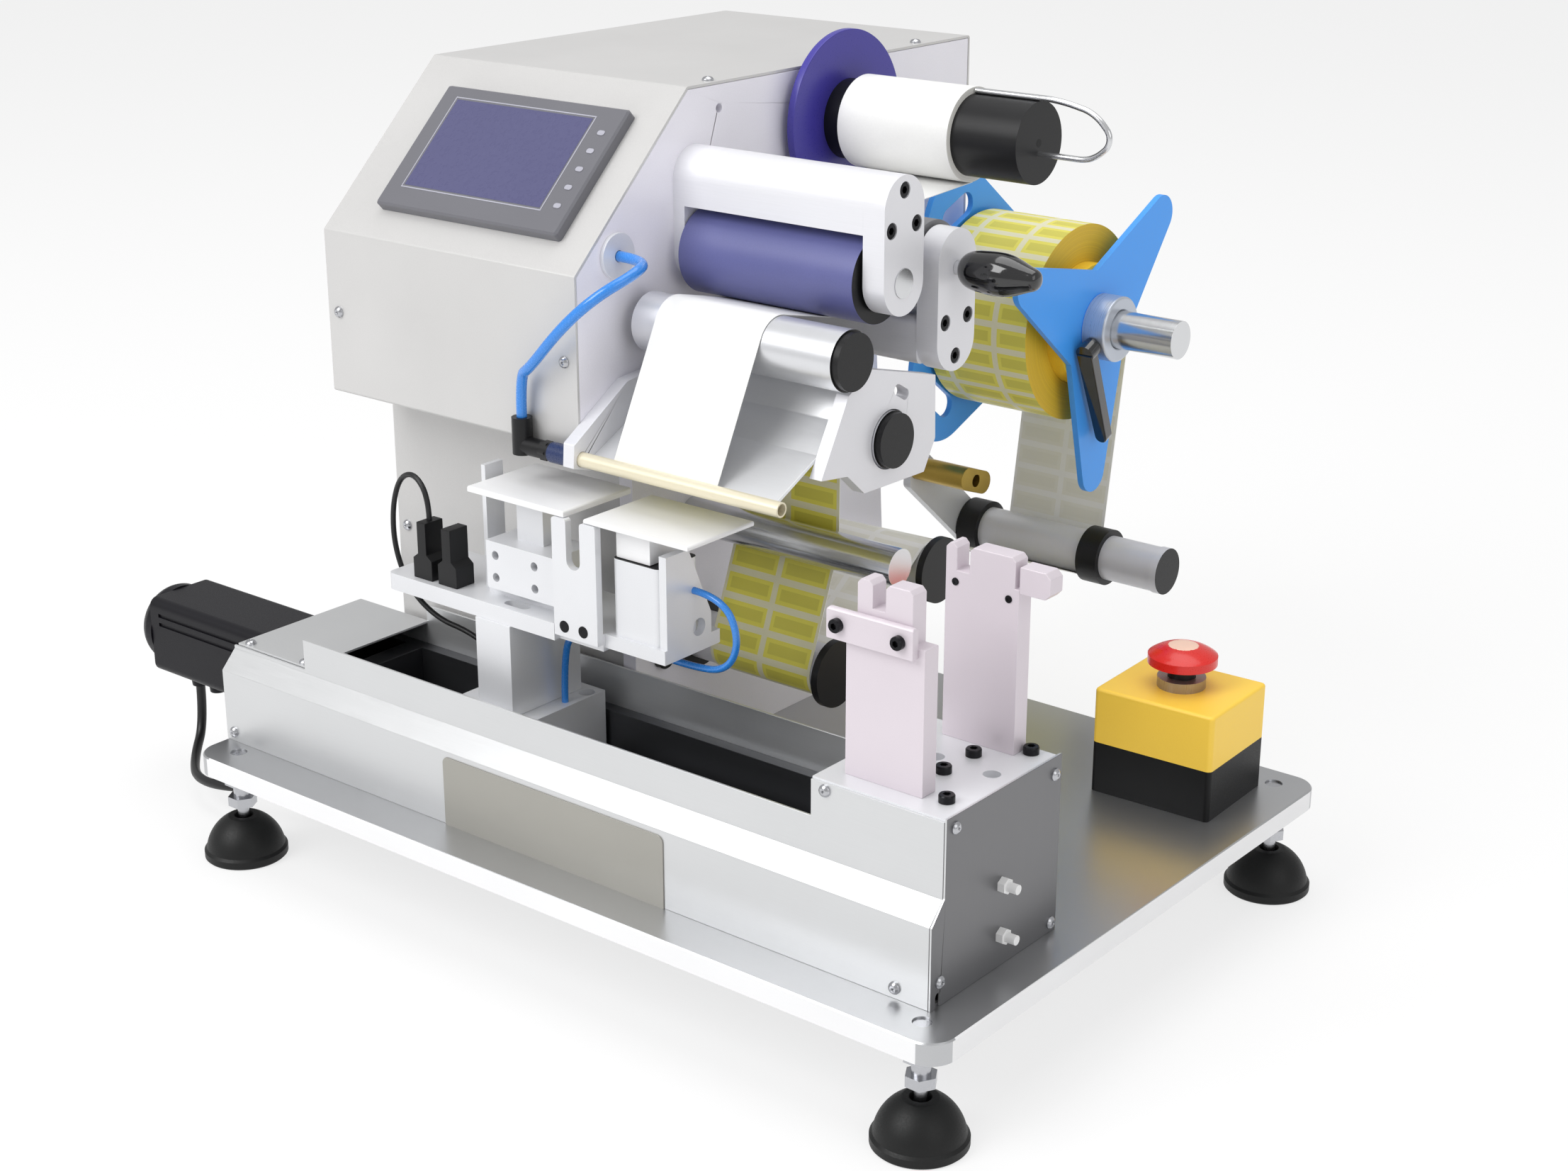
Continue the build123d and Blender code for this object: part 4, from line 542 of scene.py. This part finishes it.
def ring(left: float, right: float, inside: float, outside: float,
         side: int = 0) -> list[tuple[float, float, int]]:
    """Outline of a ring for the lathe: finish 0 on its outer face and the side's elsewhere."""
    return [(left, inside, side), (left, outside, 0), (right, outside, side), (right, inside, side)]


def rounded(left: float, low: float, right: float, high: float, corner: float) -> list[Pair]:
    """Outline of a rectangle with round corners, counter-clockwise."""
    out = []
    for middle_x, middle_y, start in ((right - corner, low + corner, -90), (right - corner, high - corner, 0),
                                      (left + corner, high - corner, 90), (left + corner, low + corner, 180)):
        for step in range(7):
            angle = radians(start + 15 * step)
            out.append((middle_x + corner * cos(angle), middle_y + corner * sin(angle)))
    return out


# Height of a pan head's crown for a head of unit radius
PAN_RISE = 0.64


class Drive(Enum):
    """Recess in a screw's head."""

    HEXAGON = 6
    CROSS = 4


def head_mesh(name: str, drive: Drive) -> Mesh:
    """One screw head of unit radius that stands on its origin and faces up."""
    shell = bmesh.new()
    steps = 24
    crown = [(1.0, 0.0), (1.0, 0.82), (0.9, 0.98), (0.62, 1.0)] if drive is Drive.HEXAGON else [
        (1.0, 0.0), (0.98, 0.22), (0.8, 0.5), (0.5, PAN_RISE)]
    rings = [[shell.verts.new((r * cos(2 * pi * k / steps), r * sin(2 * pi * k / steps), h))
              for k in range(steps)] for r, h in crown]
    sink = 0.55 if drive is Drive.HEXAGON else 0.2

    def recess(k: int) -> float:
        """Radius of the recess's edge in the direction of one step."""
        angle = 2 * pi * k / steps
        if drive is Drive.HEXAGON:
            return 0.5 * cos(pi / 6) / cos((angle + pi / 6) % (pi / 3) - pi / 6)
        return 0.42 if k % 6 == 0 else 0.14

    rim = crown[-1][1]
    mouth = [shell.verts.new((recess(k) * cos(2 * pi * k / steps), recess(k) * sin(2 * pi * k / steps), rim))
             for k in range(steps)]
    floor = [shell.verts.new((v.co.x * 0.92, v.co.y * 0.92, rim - sink)) for v in mouth]
    rings += [mouth, floor]
    for low, high in zip(rings, rings[1:]):
        for k in range(steps):
            shell.faces.new((low[k], low[(k + 1) % steps], high[(k + 1) % steps], high[k]))
    shell.faces.new(floor)
    shell.faces.new(list(reversed(rings[0])))
    bmesh.ops.recalc_face_normals(shell, faces=shell.faces)
    mesh = mesh_of(name, shell)
    return mesh


def front_head(name: str, spot: Point, radius: float, tall: float, body: str) -> None:
    """Black socket head on a face that looks to the front.

    Args:
        name: the piece's name.
        spot: middle of the seat, in millimetres.
        radius: radius of the head.
        tall: its height.
        body: the body that it rides on.
    """
    mesh = head_mesh(name, Drive.HEXAGON)
    mesh.transform(Matrix.Translation(Vector(spot) * MM) @ Matrix.Rotation(pi / 2, 4, "X")
                   @ Matrix.Diagonal((radius * MM, radius * MM, tall * MM, 1)))
    mesh.shade_smooth()
    mesh.set_sharp_from_angle(angle=HARD_HEAD)
    new_piece(name, mesh, body, [SOCKET])


@dataclass
class Base:
    """Base plate, levelling feet and the stop box."""

    button: Pair = (211.0, 135.0)
    half: Pair = (275.0, 193.0)
    deck: float = 67.2
    top: float = 64.0
    collar: float = 10.3
    crown: float = 13.0
    # Radius of the painted highlight on the button's top
    pale: float = 8.5

    def build(self) -> None:
        """Dress the plate, the feet and the stop box."""
        half_x, half_y = self.half
        dress("base_plate", [PLATE, PLATE_EDGE], 0.0,
              lambda p: int(abs(p.x) > half_x - 0.3 or abs(p.y) > half_y - 0.3))
        dress("foot_stems", [ZINC], 0.4)
        for corner in ("front_left", "front_right", "back_left", "back_right"):
            dress(f"foot_pad_{corner}", [PAD], 0.6)
        dress("estop_base", [STOP_BLACK], 0.8)
        dress("estop_cover", [AMBER, NICKEL], 0.8, lambda p: int(p.z > self.deck + self.top + 0.2))
        x, y = self.button
        flare = self.deck + self.top + self.collar
        # Below the flare black, on the top near the axis the painted highlight, red elsewhere
        dress("estop_button", [RED, PAINTED_HIGHLIGHT, BLACK], 0.6, lambda p: 2 if p.z < flare - 0.2 else int(
            p.z > flare + self.crown and hypot(p.x - x, p.y - y) < self.pale))


@dataclass
class Module:
    """Linear module along the front with its covers, motor and bare name plate."""

    plate: Four = (-84.0, 64.4, 80.0, 109.0)
    front: float = -166.0
    thread: Pair = (-202.0, 232.0)

    def build(self) -> None:
        """Dress the module and add the name plate."""
        dress("module_channel", [TROUGH], 0.3)
        for node in ("module_cover", "rear_cover"):
            end = right_end(node) - 0.3
            # Faces at each cover's right end take the darker copy, which is painted shade
            dress(node, [COVER, PAINTED_SHADE_END], 0.3, lambda p: int(p.x > end))
        dress("end_block", [ANODISED], 0.5)
        dress("carriage_block", [ANODISED], 0.5)
        dress("ball_screw", [TURNED, SCREW_THREAD], 0.3, lambda p: int(self.thread[0] < p.x < self.thread[1]))
        dress("drive_motor", [MOTOR], 0.8)
        left, low, right, high = self.plate
        plane = Matrix(((1, 0, 0, 0), (0, 0, -1, self.front), (0, 1, 0, 0), (0, 0, 0, 1)))
        slab("name_plate", plane, rounded(left, low, right, high, 4.0), 0.8, "machine", NAME, 0.3)


@dataclass
class Cabinet:
    """Column, cabinet, main plate and touch panel."""

    front: float = -95.9
    slant_low: float = 374.9
    slant_back: float = 93.5
    rise: float = 89.3
    panel: Four = (-203.8, 19.5, -61.8, 105.5)
    proud: float = 6.5
    screen: Four = (14.0, 15.0, 106.5, 61.5)
    keys: int = 5
    key_half: Pair = (2.6, 1.6)
    line_apart: float = 1.8
    line_wide: float = 0.7

    def build(self) -> None:
        """Dress the sheets and the panel."""
        dress("column", [SHEET], 0.5)
        dress("cabinet", [SHEET], 0.5)
        dress("main_plate", [WALL], 0.5)
        tilt = atan2(self.rise, self.slant_back)
        dress("touch_panel", [BEZEL], 0.4)
        up = Vector((0, cos(tilt), sin(tilt)))
        out = Vector((0, -sin(tilt), cos(tilt)))
        at = Vector((0, self.front, self.slant_low)) + out * self.proud
        plane = Matrix(((1, 0, 0, at.x), (0, up.y, out.y, at.y), (0, up.z, out.z, at.z), (0, 0, 0, 1)))
        left, low, right, _ = self.panel
        half_x, half_y = self.key_half
        for place in range(self.keys):
            x, y = right - 10.0, low + 18.0 + 12.5 * place
            key = rounded(x - half_x, y - half_y, x + half_x, y + half_y, 1.5)
            slab(f"panel_key_{place}", plane, key, 0.4, "machine", RIM, 0.15)
        x, y, wide, tall = self.screen
        x, y = left + x, low + y
        film = plane @ Matrix.Translation((0, 0, -0.5))
        slab("display_film", film, box(x, y, wide, tall), 0.6, "machine", SCREEN, 0.0)
        apart, line = self.line_apart, self.line_wide
        x, y = x - apart, y - apart
        wide, tall = wide + 2 * apart, tall + 2 * apart
        lines = {"low": (x, y, wide, line), "high": (x, y + tall - line, wide, line),
                 "left": (x, y + line, line, tall - 2 * line),
                 "right": (x + wide - line, y + line, line, tall - 2 * line)}
        for name, spot in lines.items():
            slab(f"screen_line_{name}", plane, box(*spot), 0.12, "machine", RIM, 0.0)


@dataclass
class FoldingUnit:
    """Everything that rides on the carriage, and the cable posts."""

    bracket_front: float = -129.0
    screws_x: Pair = (-22.5, -8.5)
    screws_z: float = 190.0
    slide_head: Pair = (39.5, 222.0)
    sensors_end: float = -104.0

    def build(self) -> None:
        """Dress the stand, the jaws, the cylinder and the posts."""
        dress("unit_stand", [ANODISED], 0.5)
        dress("slotted_bracket", [ANODISED], 0.4)
        dress("left_slide", [ANODISED], 0.4)
        dress("left_fold_plate", [FOLD], 0.3)
        dress("right_fold_plate", [FOLD], 0.3)
        dress("right_cylinder", [ANODISED, BLACK], 0.4, lambda p: int(
            p.z > self.slide_head[1] and p.x < self.slide_head[0]))
        dress("position_sensors", [BLACK, ANODISED], 0.4, lambda p: int(p.x > self.sensors_end))
        dress("cable_posts", [POSTS], 0.5)
        for place, x in enumerate(self.screws_x):
            seat = (x, self.bracket_front, self.screws_z)
            front_head(f"bracket_screw_{place}", seat, 3.4, 0.25, "carriage")


@dataclass
class Rollers:
    """Rollers, brackets and the peel station."""

    guide_end: float = 110.2
    left: float = -30.7
    flanges: Pair = (-32.1, 63.9)
    drive: Pair = (2.2, 374.9)
    drive_shaft: float = 8.6
    drive_cap: float = 22.0
    knob_stem: float = 110.5

    def build(self) -> None:
        """Dress the label path's fixed and turning pieces."""
        dress("fixed_shafts", [TURNED], 0.4)
        end = self.guide_end - 4.2
        for name in ("upper_guide_roller", "lower_guide_roller"):
            dress(name, [ROLLER, BLACK], 0.5, lambda p: int(p.x > end or p.x < self.left + 0.05))
        for name in ("front_flanged_roller", "rear_flanged_roller"):
            dress(name, [GREY_TUBE, BLACK], 0.5, lambda p: int(not self.flanges[0] <= p.x <= self.flanges[1]))
        dress("idler_roller", [GREY_TUBE, BLACK], 0.6, lambda p: int(
            p.x < -18.1 or 60.4 < p.x < 75.6 or p.x > 118.0))
        y, z = self.drive
        dress("drive_roller", [DRIVE, BLACK, TURNED], 0.5,
              lambda p: 2 if hypot(p.y - y, p.z - z) < self.drive_shaft else int(
                  hypot(p.y - y, p.z - z) < self.drive_cap and p.x > 80))
        dress("pressure_roller", [NIP], 0.5)
        dress("release_knob", [GLOSS_BLACK, TURNED], 0.3, lambda p: int(p.x < self.knob_stem))
        dress("drive_bracket", [BRACKET], 0.8)
        dress("pressure_bracket", [BRACKET], 0.8)
        dress("guide_plates", [BRACKET], 0.4)
        dress("peel_plate", [PEEL], 0.2)
        dress("idler_bracket", [ANODISED, BRASS], 0.4, by_solid=[0, 1])
        dress("air_tube", [TUBE], 0.2)
        dress("air_fittings", [BLACK, ANODISED, GROMMET], 0.3, by_solid=[0, 2, 1])


@dataclass
class Reels:
    """Label reel and liner rewind."""

    reel: Pair = (253.2, 298.0)
    rewind: Pair = (129.7, 431.1)
    web: Pair = (-13.5, 59.5)
    roll: Pair = (38.05, 61.3)
    core: Pair = (11.85, 38.0)
    core_ends: Pair = (-17.0, 69.3)
    hub_face: float = 73.6
    liner: Pair = (23.35, 26.9)

    def build(self) -> None:
        """Dress the shafts and flanges and turn the two rolls."""
        dress("reel_shaft", [TURNED], 0.6)
        dress("reel_inner_flange", [BLUE_FLANGE], 0.4)
        dress("reel_outer_flange", [BLUE_FLANGE, HUB], 0.4, lambda p: int(p.x > self.hub_face))
        dress("clamp_lever", [GLOSS_BLACK], 0.4)
        y, z = self.reel
        left, right = self.web
        lathe("label_roll_paper", y, z, ring(left, right, *self.roll, 1), "reel", [LABELS, ROLL_EDGE],
              ["label_roll"], 128)
        lathe("label_roll_core", y, z, ring(*self.core_ends, *self.core), "reel", [CORE])
        dress("rewind_flange", [PURPLE], 0.8)
        dress("rewind_core", [BLACK], 1.0)
        y, z = self.rewind
        # A thin black disc on the drum's end is painted shade that stands in for its centre hole
        end = right_end("rewind_core")
        lathe("drum_centre_hole", y, z, ring(end - 0.2, end + 0.05, 0.4, 2.4), "rewind", [STOP_BLACK],
              steps=32)
        lathe("liner_roll_paper", y, z, ring(left - 3, right + 1, *self.liner, 1), "rewind",
              [LINER, LINER_EDGE], ["liner_roll"])


@dataclass
class Web:
    """Label web round its rollers, and the bare liner beyond the peeling edge."""

    left: float = -13.5
    width: float = 73.0
    thick: float = 0.4
    lift: float = 0.5
    stops: list[tuple[float, float, float, int]] = field(default_factory=lambda: [
        (253.2, 298.0, 61.3, -1), (275.9, 140.0, 14.5, -1), (96.4, 179.8, 14.5, 1), (-2.5, 145.4, 14.5, -1),
        (-2.5, 218.5, 10.7, 1), (-6.9, 291.6, 15.9, 1), (-96.0, 274.3, 1.0, -1), (-44.5, 342.6, 16.6, -1),
        (2.2, 374.9, 24.2, 1), (51.4, 374.9, 23.9, -1), (129.7, 431.1, 26.9, 1),
    ])
    peel_stop: int = 6
    run_steps: int = 8
    bend_steps: int = 20

    def path(self) -> list[list[Pair]]:
        """Points (y, z) along the middle of the web, one list for each leg with the arc after it."""
        legs = []
        for (y0, z0, r0, turn0), (y1, z1, r1, turn1) in zip(self.stops, self.stops[1:]):
            first, second = turn0 * (r0 + self.lift), turn1 * (r1 + self.lift)
            heading = atan2(z1 - z0, y1 - y0) - asin((second - first) / hypot(y1 - y0, z1 - z0))
            across = (-sin(heading), cos(heading))
            legs.append(((y0 - first * across[0], z0 - first * across[1]),
                         (y1 - second * across[0], z1 - second * across[1])))
        out = []
        for (start, end), stop, onward in zip(legs, self.stops[1:], legs[1:] + [None]):
            run = (end[0] - start[0], end[1] - start[1])
            steps = [(start[0] + run[0] * k / self.run_steps, start[1] + run[1] * k / self.run_steps)
                     for k in range(self.run_steps + 1)]
            if onward:
                y, z, radius, turn = stop
                arrive = atan2(end[1] - z, end[0] - y)
                leave = atan2(onward[0][1] - z, onward[0][0] - y)
                if turn > 0 and leave < arrive:
                    leave += 2 * pi
                if turn < 0 and leave > arrive:
                    leave -= 2 * pi
                size = radius + self.lift
                for k in range(1, self.bend_steps):
                    angle = arrive + (leave - arrive) * k / self.bend_steps
                    steps.append((y + size * cos(angle), z + size * sin(angle)))
            out.append(steps)
        return out

    def strip(self, name: str, middle: list[Pair], finishes: Sequence[Finish],
              stands_for: Sequence[str]) -> None:
        """Make one strip of even thickness along a path.

        Args:
            name: the piece's name.
            middle: points along the strip's middle.
            finishes: the finish of its outer side, then of its other sides.
            stands_for: CAD nodes that it replaces.
        """
        shell = bmesh.new()
        lengths = shell.loops.layers.uv.new("lengths")
        rows, run = [], 0.0
        for at, (y, z) in enumerate(middle):
            before, after = middle[max(at - 1, 0)], middle[min(at + 1, len(middle) - 1)]
            heading = atan2(after[1] - before[1], after[0] - before[0])
            across = (-sin(heading) * self.thick / 2, cos(heading) * self.thick / 2)
            if at:
                run += hypot(y - middle[at - 1][0], z - middle[at - 1][1])
            corners = [(x, y + side * across[0], z + side * across[1])
                       for x, side in ((self.left, -1), (self.left + self.width, -1),
                                       (self.left + self.width, 1), (self.left, 1))]
            rows.append(([shell.verts.new(Vector(c) * MM) for c in corners], run))
        for (here, low), (after, high) in zip(rows, rows[1:]):
            for a in range(4):
                b = (a + 1) % 4
                face = shell.faces.new((here[a], here[b], after[b], after[a]))
                face.smooth = True
                face.material_index = 0 if a == 2 else len(finishes) - 1
                for loop, (corner, far) in zip(face.loops, ((a, low), (b, low), (b, high), (a, high))):
                    loop[lengths].uv = ((self.width if corner in (1, 2) else 0.0) * MM, far * MM)
        shell.faces.new(rows[0][0])
        shell.faces.new(list(reversed(rows[-1][0])))
        bmesh.ops.recalc_face_normals(shell, faces=shell.faces)
        mesh = mesh_of(name, shell)
        mesh.set_sharp_from_angle(angle=HARD_TURNED)
        new_piece(name, mesh, "machine", finishes, stands_for)

    def build(self) -> None:
        """Make the labelled strip up to the peeling edge and the bare liner after it."""
        legs = self.path()
        before = [point for leg in legs[:self.peel_stop] for point in leg]
        after = [point for leg in legs[self.peel_stop:] for point in leg]
        self.strip("labelled_web", before, [LABELS, LINER_BACK], ["label_web"])
        self.strip("bare_liner", [before[-1]] + after, [LINER], [])


@dataclass
class Route:
    """One cord: its points from the model's source, in millimetres, and how it lies."""

    name: str
    node: str
    body: str
    finish: Finish
    radius: float
    points: list[Point]
    stiffness: str
    lay: str

    def build(self) -> None:
        """Make the cord as a smooth spline through its control points."""
        line = bpy.data.curves.new(self.name, "CURVE")
        line.dimensions = "3D"
        spline = line.splines.new("NURBS")
        spline.points.add(len(self.points) - 1)
        for knot, place in zip(spline.points, self.points):
            knot.co = (*(Vector(place) * MM), 1.0)
        spline.order_u = 3
        spline.use_endpoint_u = True
        spline.resolution_u = 12
        bare = put(self.name + "_line", line)
        bpy.context.view_layer.update()
        run = bpy.data.meshes.new_from_object(bare)
        bpy.data.meshes.remove(run)
        bare.name = self.name
        line.bevel_depth = self.radius * MM
        line.bevel_resolution = 5
        line.use_fill_caps = True
        line.materials.append(self.finish.build())
        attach(bare, self.body)
        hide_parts(self.node)


def cords() -> list[Route]:
    """The machine's cords, with the same points as the model's source."""
    gland, under, hole = -375.0, 58.5, (-200.0, -20.0)
    motor = [(gland, -108, under), (gland, -108, under - 27.5), (gland + 16, -130, under - 41),
             (gland + 46, -152, under - 40), (gland + 87, -152, under - 34), (gland + 119, -128, under - 30),
             (gland + 149, -86, under - 33), (hole[0] - 7, hole[1] - 22, under - 32), (*hole, 40.0),
             (*hole, 63.0)]
    x, y, z = -137.5, -118.0, 224.0
    sensor = [(x, y, z), (x, y, z + 14), (x - 12.5, y + 2, z + 25), (x - 28.5, y + 5, z + 19),
              (x - 38.5, y + 7, z - 2), (x - 39.5, y + 8, z - 28), (x - 30.5, y + 10, z - 52),
              (x - 10.5, y + 12, z - 66),
              (x + 13.5, y + 14, z - 69), (-104, y + 16, 146), (-104, y + 16, 125)]
    air = [(45, -99, 218), (66, -99, 218), (76, -98, 196), (66, -97, 176), (40, -96, 172), (-10, -95, 173),
           (-52, -94, 171), (-58, -94, 148), (-58, -94, 125)]
    start, side, high, elbow = -36.7, -62.9, 380.9, -76.2
    hose = [(start, side, high), (start + 19, side, high), (start + 31, side - 19, high - 1),
            (start + 20, -104, high - 12), (start - 2, -109, high - 32), (elbow + 12, -107, high - 58),
            (elbow, -102, 316.7), (elbow, -102, 292.7)]
    return [
        Route("motor_cable", "motor_lead", "machine", JACKET, 3.0, motor, "medium", "hanging"),
        Route("sensor_cable", "sensor_lead", "carriage", JACKET, 1.6, sensor, "limp", "loose"),
        Route("cylinder_air_line", "air_lines", "carriage", HOSE, 2.0, air, "medium", "loose"),
        Route("nozzle_air_hose", "air_hose", "machine", HOSE, 3.0, hose, "medium", "loose"),
    ]


def screw_tree() -> bpy.types.GeometryNodeTree:
    """Geometry tree that sets a head on each point, turned to the point's facing."""
    tree = bpy.data.node_groups.new("screws on faces", "GeometryNodeTree")
    for name, kind in (("Points", "Geometry"), ("Head", "Object"), ("Finish", "Material")):
        tree.interface.new_socket(name, in_out="INPUT", socket_type="NodeSocket" + kind)
    tree.interface.new_socket("Screws", in_out="OUTPUT", socket_type="NodeSocketGeometry")
    given = add(tree, "NodeGroupInput")
    head = add(tree, "GeometryNodeObjectInfo", {"Object": given.outputs["Head"]})
    facing = add(tree, "GeometryNodeInputNamedAttribute", {"Name": "facing"}, data_type="FLOAT_VECTOR")
    size = add(tree, "GeometryNodeInputNamedAttribute", {"Name": "size"}, data_type="FLOAT_VECTOR")
    turn = add(tree, "FunctionNodeAlignRotationToVector", {"Vector": facing.outputs["Attribute"]}, axis="Z")
    placed = add(tree, "GeometryNodeInstanceOnPoints", {
        "Points": given.outputs["Points"], "Instance": head.outputs["Geometry"],
        "Rotation": turn.outputs["Rotation"], "Scale": size.outputs["Attribute"]})
    real = add(tree, "GeometryNodeRealizeInstances", {"Geometry": placed.outputs["Instances"]})
    done = add(tree, "GeometryNodeSetMaterial", {
        "Geometry": real.outputs["Geometry"], "Material": given.outputs["Finish"]})
    add(tree, "NodeGroupOutput", {"Screws": done.outputs["Geometry"]})
    return tree


@dataclass
class Fasteners:
    """Screw heads, repeated where the model has them."""

    longest: float = 8.0

    def field_of(self, node: str, drive: Drive, finish: Finish, tree: bpy.types.GeometryNodeTree) -> None:
        """Set heads in place of a node's plain ones.

        Args:
            node: the CAD node of the screws.
            drive: the recess of the heads.
            finish: their finish.
            tree: the geometry tree that repeats a head.
        """
        places, facings, sizes, rest = [], [], [], bmesh.new()
        for shell in solids_of(node):
            spots = [v.co / MM for v in shell.verts]
            low = [min(p[k] for p in spots) for k in range(3)]
            high = [max(p[k] for p in spots) for k in range(3)]
            span = [b - a for a, b in zip(low, high)]
            if max(span) > self.longest + 6 or (max(span) > self.longest and drive is Drive.CROSS):
                mesh = eased("fitting", shell, 0.3)
                rest.from_mesh(mesh)
                bpy.data.meshes.remove(mesh)
                continue
            gaps = [abs(span[(k + 1) % 3] - span[(k + 2) % 3]) for k in range(3)]
            axis = gaps.index(min(gaps))
            middle = [(a + b) / 2 for a, b in zip(low, high)]
            facing = [0.0, 0.0, 0.0]
            facing[axis] = -1.0 if axis == 1 else 1.0
            middle[axis] = high[axis] if axis == 1 else low[axis]
            radius = max(span[k] for k in range(3) if k != axis) / 2
            places.append(Vector(middle) * MM)
            facings.append(facing)
            tall = span[axis] / (1.0 if drive is Drive.HEXAGON else PAN_RISE)
            sizes.append((radius * MM, radius * MM, tall * MM))
            shell.free()
        points = bpy.data.meshes.new(node + "_points")
        points.from_pydata([tuple(p) for p in places], [], [])
        for name, values in (("facing", facings), ("size", sizes)):
            layer = points.attributes.new(name, "FLOAT_VECTOR", "POINT")
            layer.data.foreach_set("vector", [number for value in values for number in value])
        holder = put(node + "_holder", points)
        head = bpy.data.objects.new(node + "_head", head_mesh(node + "_head", drive))
        repeat = holder.modifiers.new("screws", "NODES")
        repeat.node_group = tree
        sockets = {item.name: item.identifier for item in tree.interface.items_tree if item.in_out == "INPUT"}
        repeat[sockets["Head"]] = head
        repeat[sockets["Finish"]] = finish.build()
        mesh = settle(holder)
        bpy.data.objects.remove(head)
        if rest.faces:
            rest.from_mesh(mesh)
            rest.to_mesh(mesh)
        rest.free()
        mesh.shade_smooth()
        mesh.set_sharp_from_angle(angle=HARD_HEAD)
        new_piece(node + "_heads", mesh, "machine", [finish], [node])

    def build(self) -> None:
        """Set the black socket heads and the bright pan heads."""
        tree = screw_tree()
        self.field_of("socket_screws", Drive.HEXAGON, SOCKET, tree)
        self.field_of("pan_screws", Drive.CROSS, ZINC, tree)


@dataclass
class Studio:
    """Pale floor, soft lamps and the camera at the photograph's angle."""

    eye: Point = (853.345, -1026.089, 671.180)
    azimuth: float = 38.85
    elevation: float = 20.127
    focal_pixels: float = 3472.7
    image_width: float = 2213.0
    sensor: float = 36.0
    floor_reach: float = 14.0
    floor_glow: float = 0.72
    room_light: float = 0.56
    # Name, place and size in metres, and power of each lamp
    hung: tuple[tuple[str, Point, float, float], ...] = (
        ("key", (-0.9, -2.2, 2.3), 1.8, 56.0), ("side", (2.4, -0.6, 1.5), 1.6, 9.0),
        ("top", (0.0, 0.3, 2.8), 2.2, 30.0))

    def camera(self) -> None:
        """Set the camera."""
        data = bpy.data.cameras.new("camera")
        data.sensor_width = self.sensor
        data.sensor_fit = "HORIZONTAL"
        data.lens = self.focal_pixels * self.sensor / self.image_width
        data.clip_end = 50.0
        holder = put("camera", data)
        holder.location = Vector(self.eye) * MM
        holder.rotation_euler = (radians(90 - self.elevation), 0, radians(self.azimuth))
        bpy.context.scene.camera = holder

    def floor(self) -> None:
        """Lay the pale floor, which keeps the machine's shadow."""
        mesh = bpy.data.meshes.new("floor")
        low, span = -self.floor_reach, 2 * self.floor_reach
        mesh.from_pydata([(x, y, 0) for x, y in box(low, low, span, span)], [], [(0, 1, 2, 3)])
        ground = put("floor", mesh)
        material = bpy.data.materials.new("pale_floor")
        material.use_nodes = True
        tree = material.node_tree
        tree.nodes.clear()
        lit = add(tree, "ShaderNodeBsdfDiffuse", {"Color": linear("F4F4F4")})
        white = add(tree, "ShaderNodeEmission", {"Color": (1, 1, 1, 1), "Strength": 1.0})
        path = add(tree, "ShaderNodeLightPath")
        seen = add(tree, "ShaderNodeMath", {
            0: path.outputs["Is Camera Ray"], 1: path.outputs["Is Glossy Ray"]}, operation="MAXIMUM")
        part = add(tree, "ShaderNodeMath", {0: seen.outputs[0], 1: self.floor_glow}, operation="MULTIPLY")
        mixed = add(tree, "ShaderNodeMixShader", {0: part.outputs[0], 1: lit.outputs[0], 2: white.outputs[0]})
        add(tree, "ShaderNodeOutputMaterial", {"Surface": mixed.outputs[0]})
        mesh.materials.append(material)

    def lamps(self) -> None:
        """Hang three large soft lamps and set the pale world."""
        for name, place, size, power in self.hung:
            lamp = bpy.data.lights.new(name, "AREA")
            lamp.energy = power
            lamp.size = size
            holder = put(name, lamp)
            holder.location = place
            holder.rotation_euler = (Vector((0, 0, 0.25)) - Vector(place)).to_track_quat("-Z", "Y").to_euler()
        world = bpy.data.worlds.new("studio")
        world.use_nodes = True
        world.node_tree.nodes.clear()
        tree = world.node_tree
        soft = add(tree, "ShaderNodeBackground", {"Color": (1, 1, 1, 1), "Strength": self.room_light})
        white = add(tree, "ShaderNodeBackground", {"Color": (1, 1, 1, 1), "Strength": 1.0})
        path = add(tree, "ShaderNodeLightPath")
        mixed = add(tree, "ShaderNodeMixShader", {
            0: path.outputs["Is Camera Ray"], 1: soft.outputs[0], 2: white.outputs[0]})
        add(tree, "ShaderNodeOutputWorld", {"Surface": mixed.outputs[0]})
        bpy.context.scene.world = world

    def build(self) -> None:
        """Set the camera, the floor and the lamps."""
        self.camera()
        self.floor()
        self.lamps()
        bpy.context.scene.view_settings.view_transform = "Standard"


def main() -> None:
    """Build the studio, then each sub-assembly in order."""
    Studio().build()
    for route in cords():
        route.build()
    for part in (Base(), Module(), Cabinet(), FoldingUnit(), Rollers(), Reels(), Web(), Fasteners()):
        part.build()
        log.info("%s built", type(part).__name__)
    wire = dress("wire_clip", [TURNED], 0.0)
    log.info("%s built", wire.name)


if __name__ == "__main__":
    main()
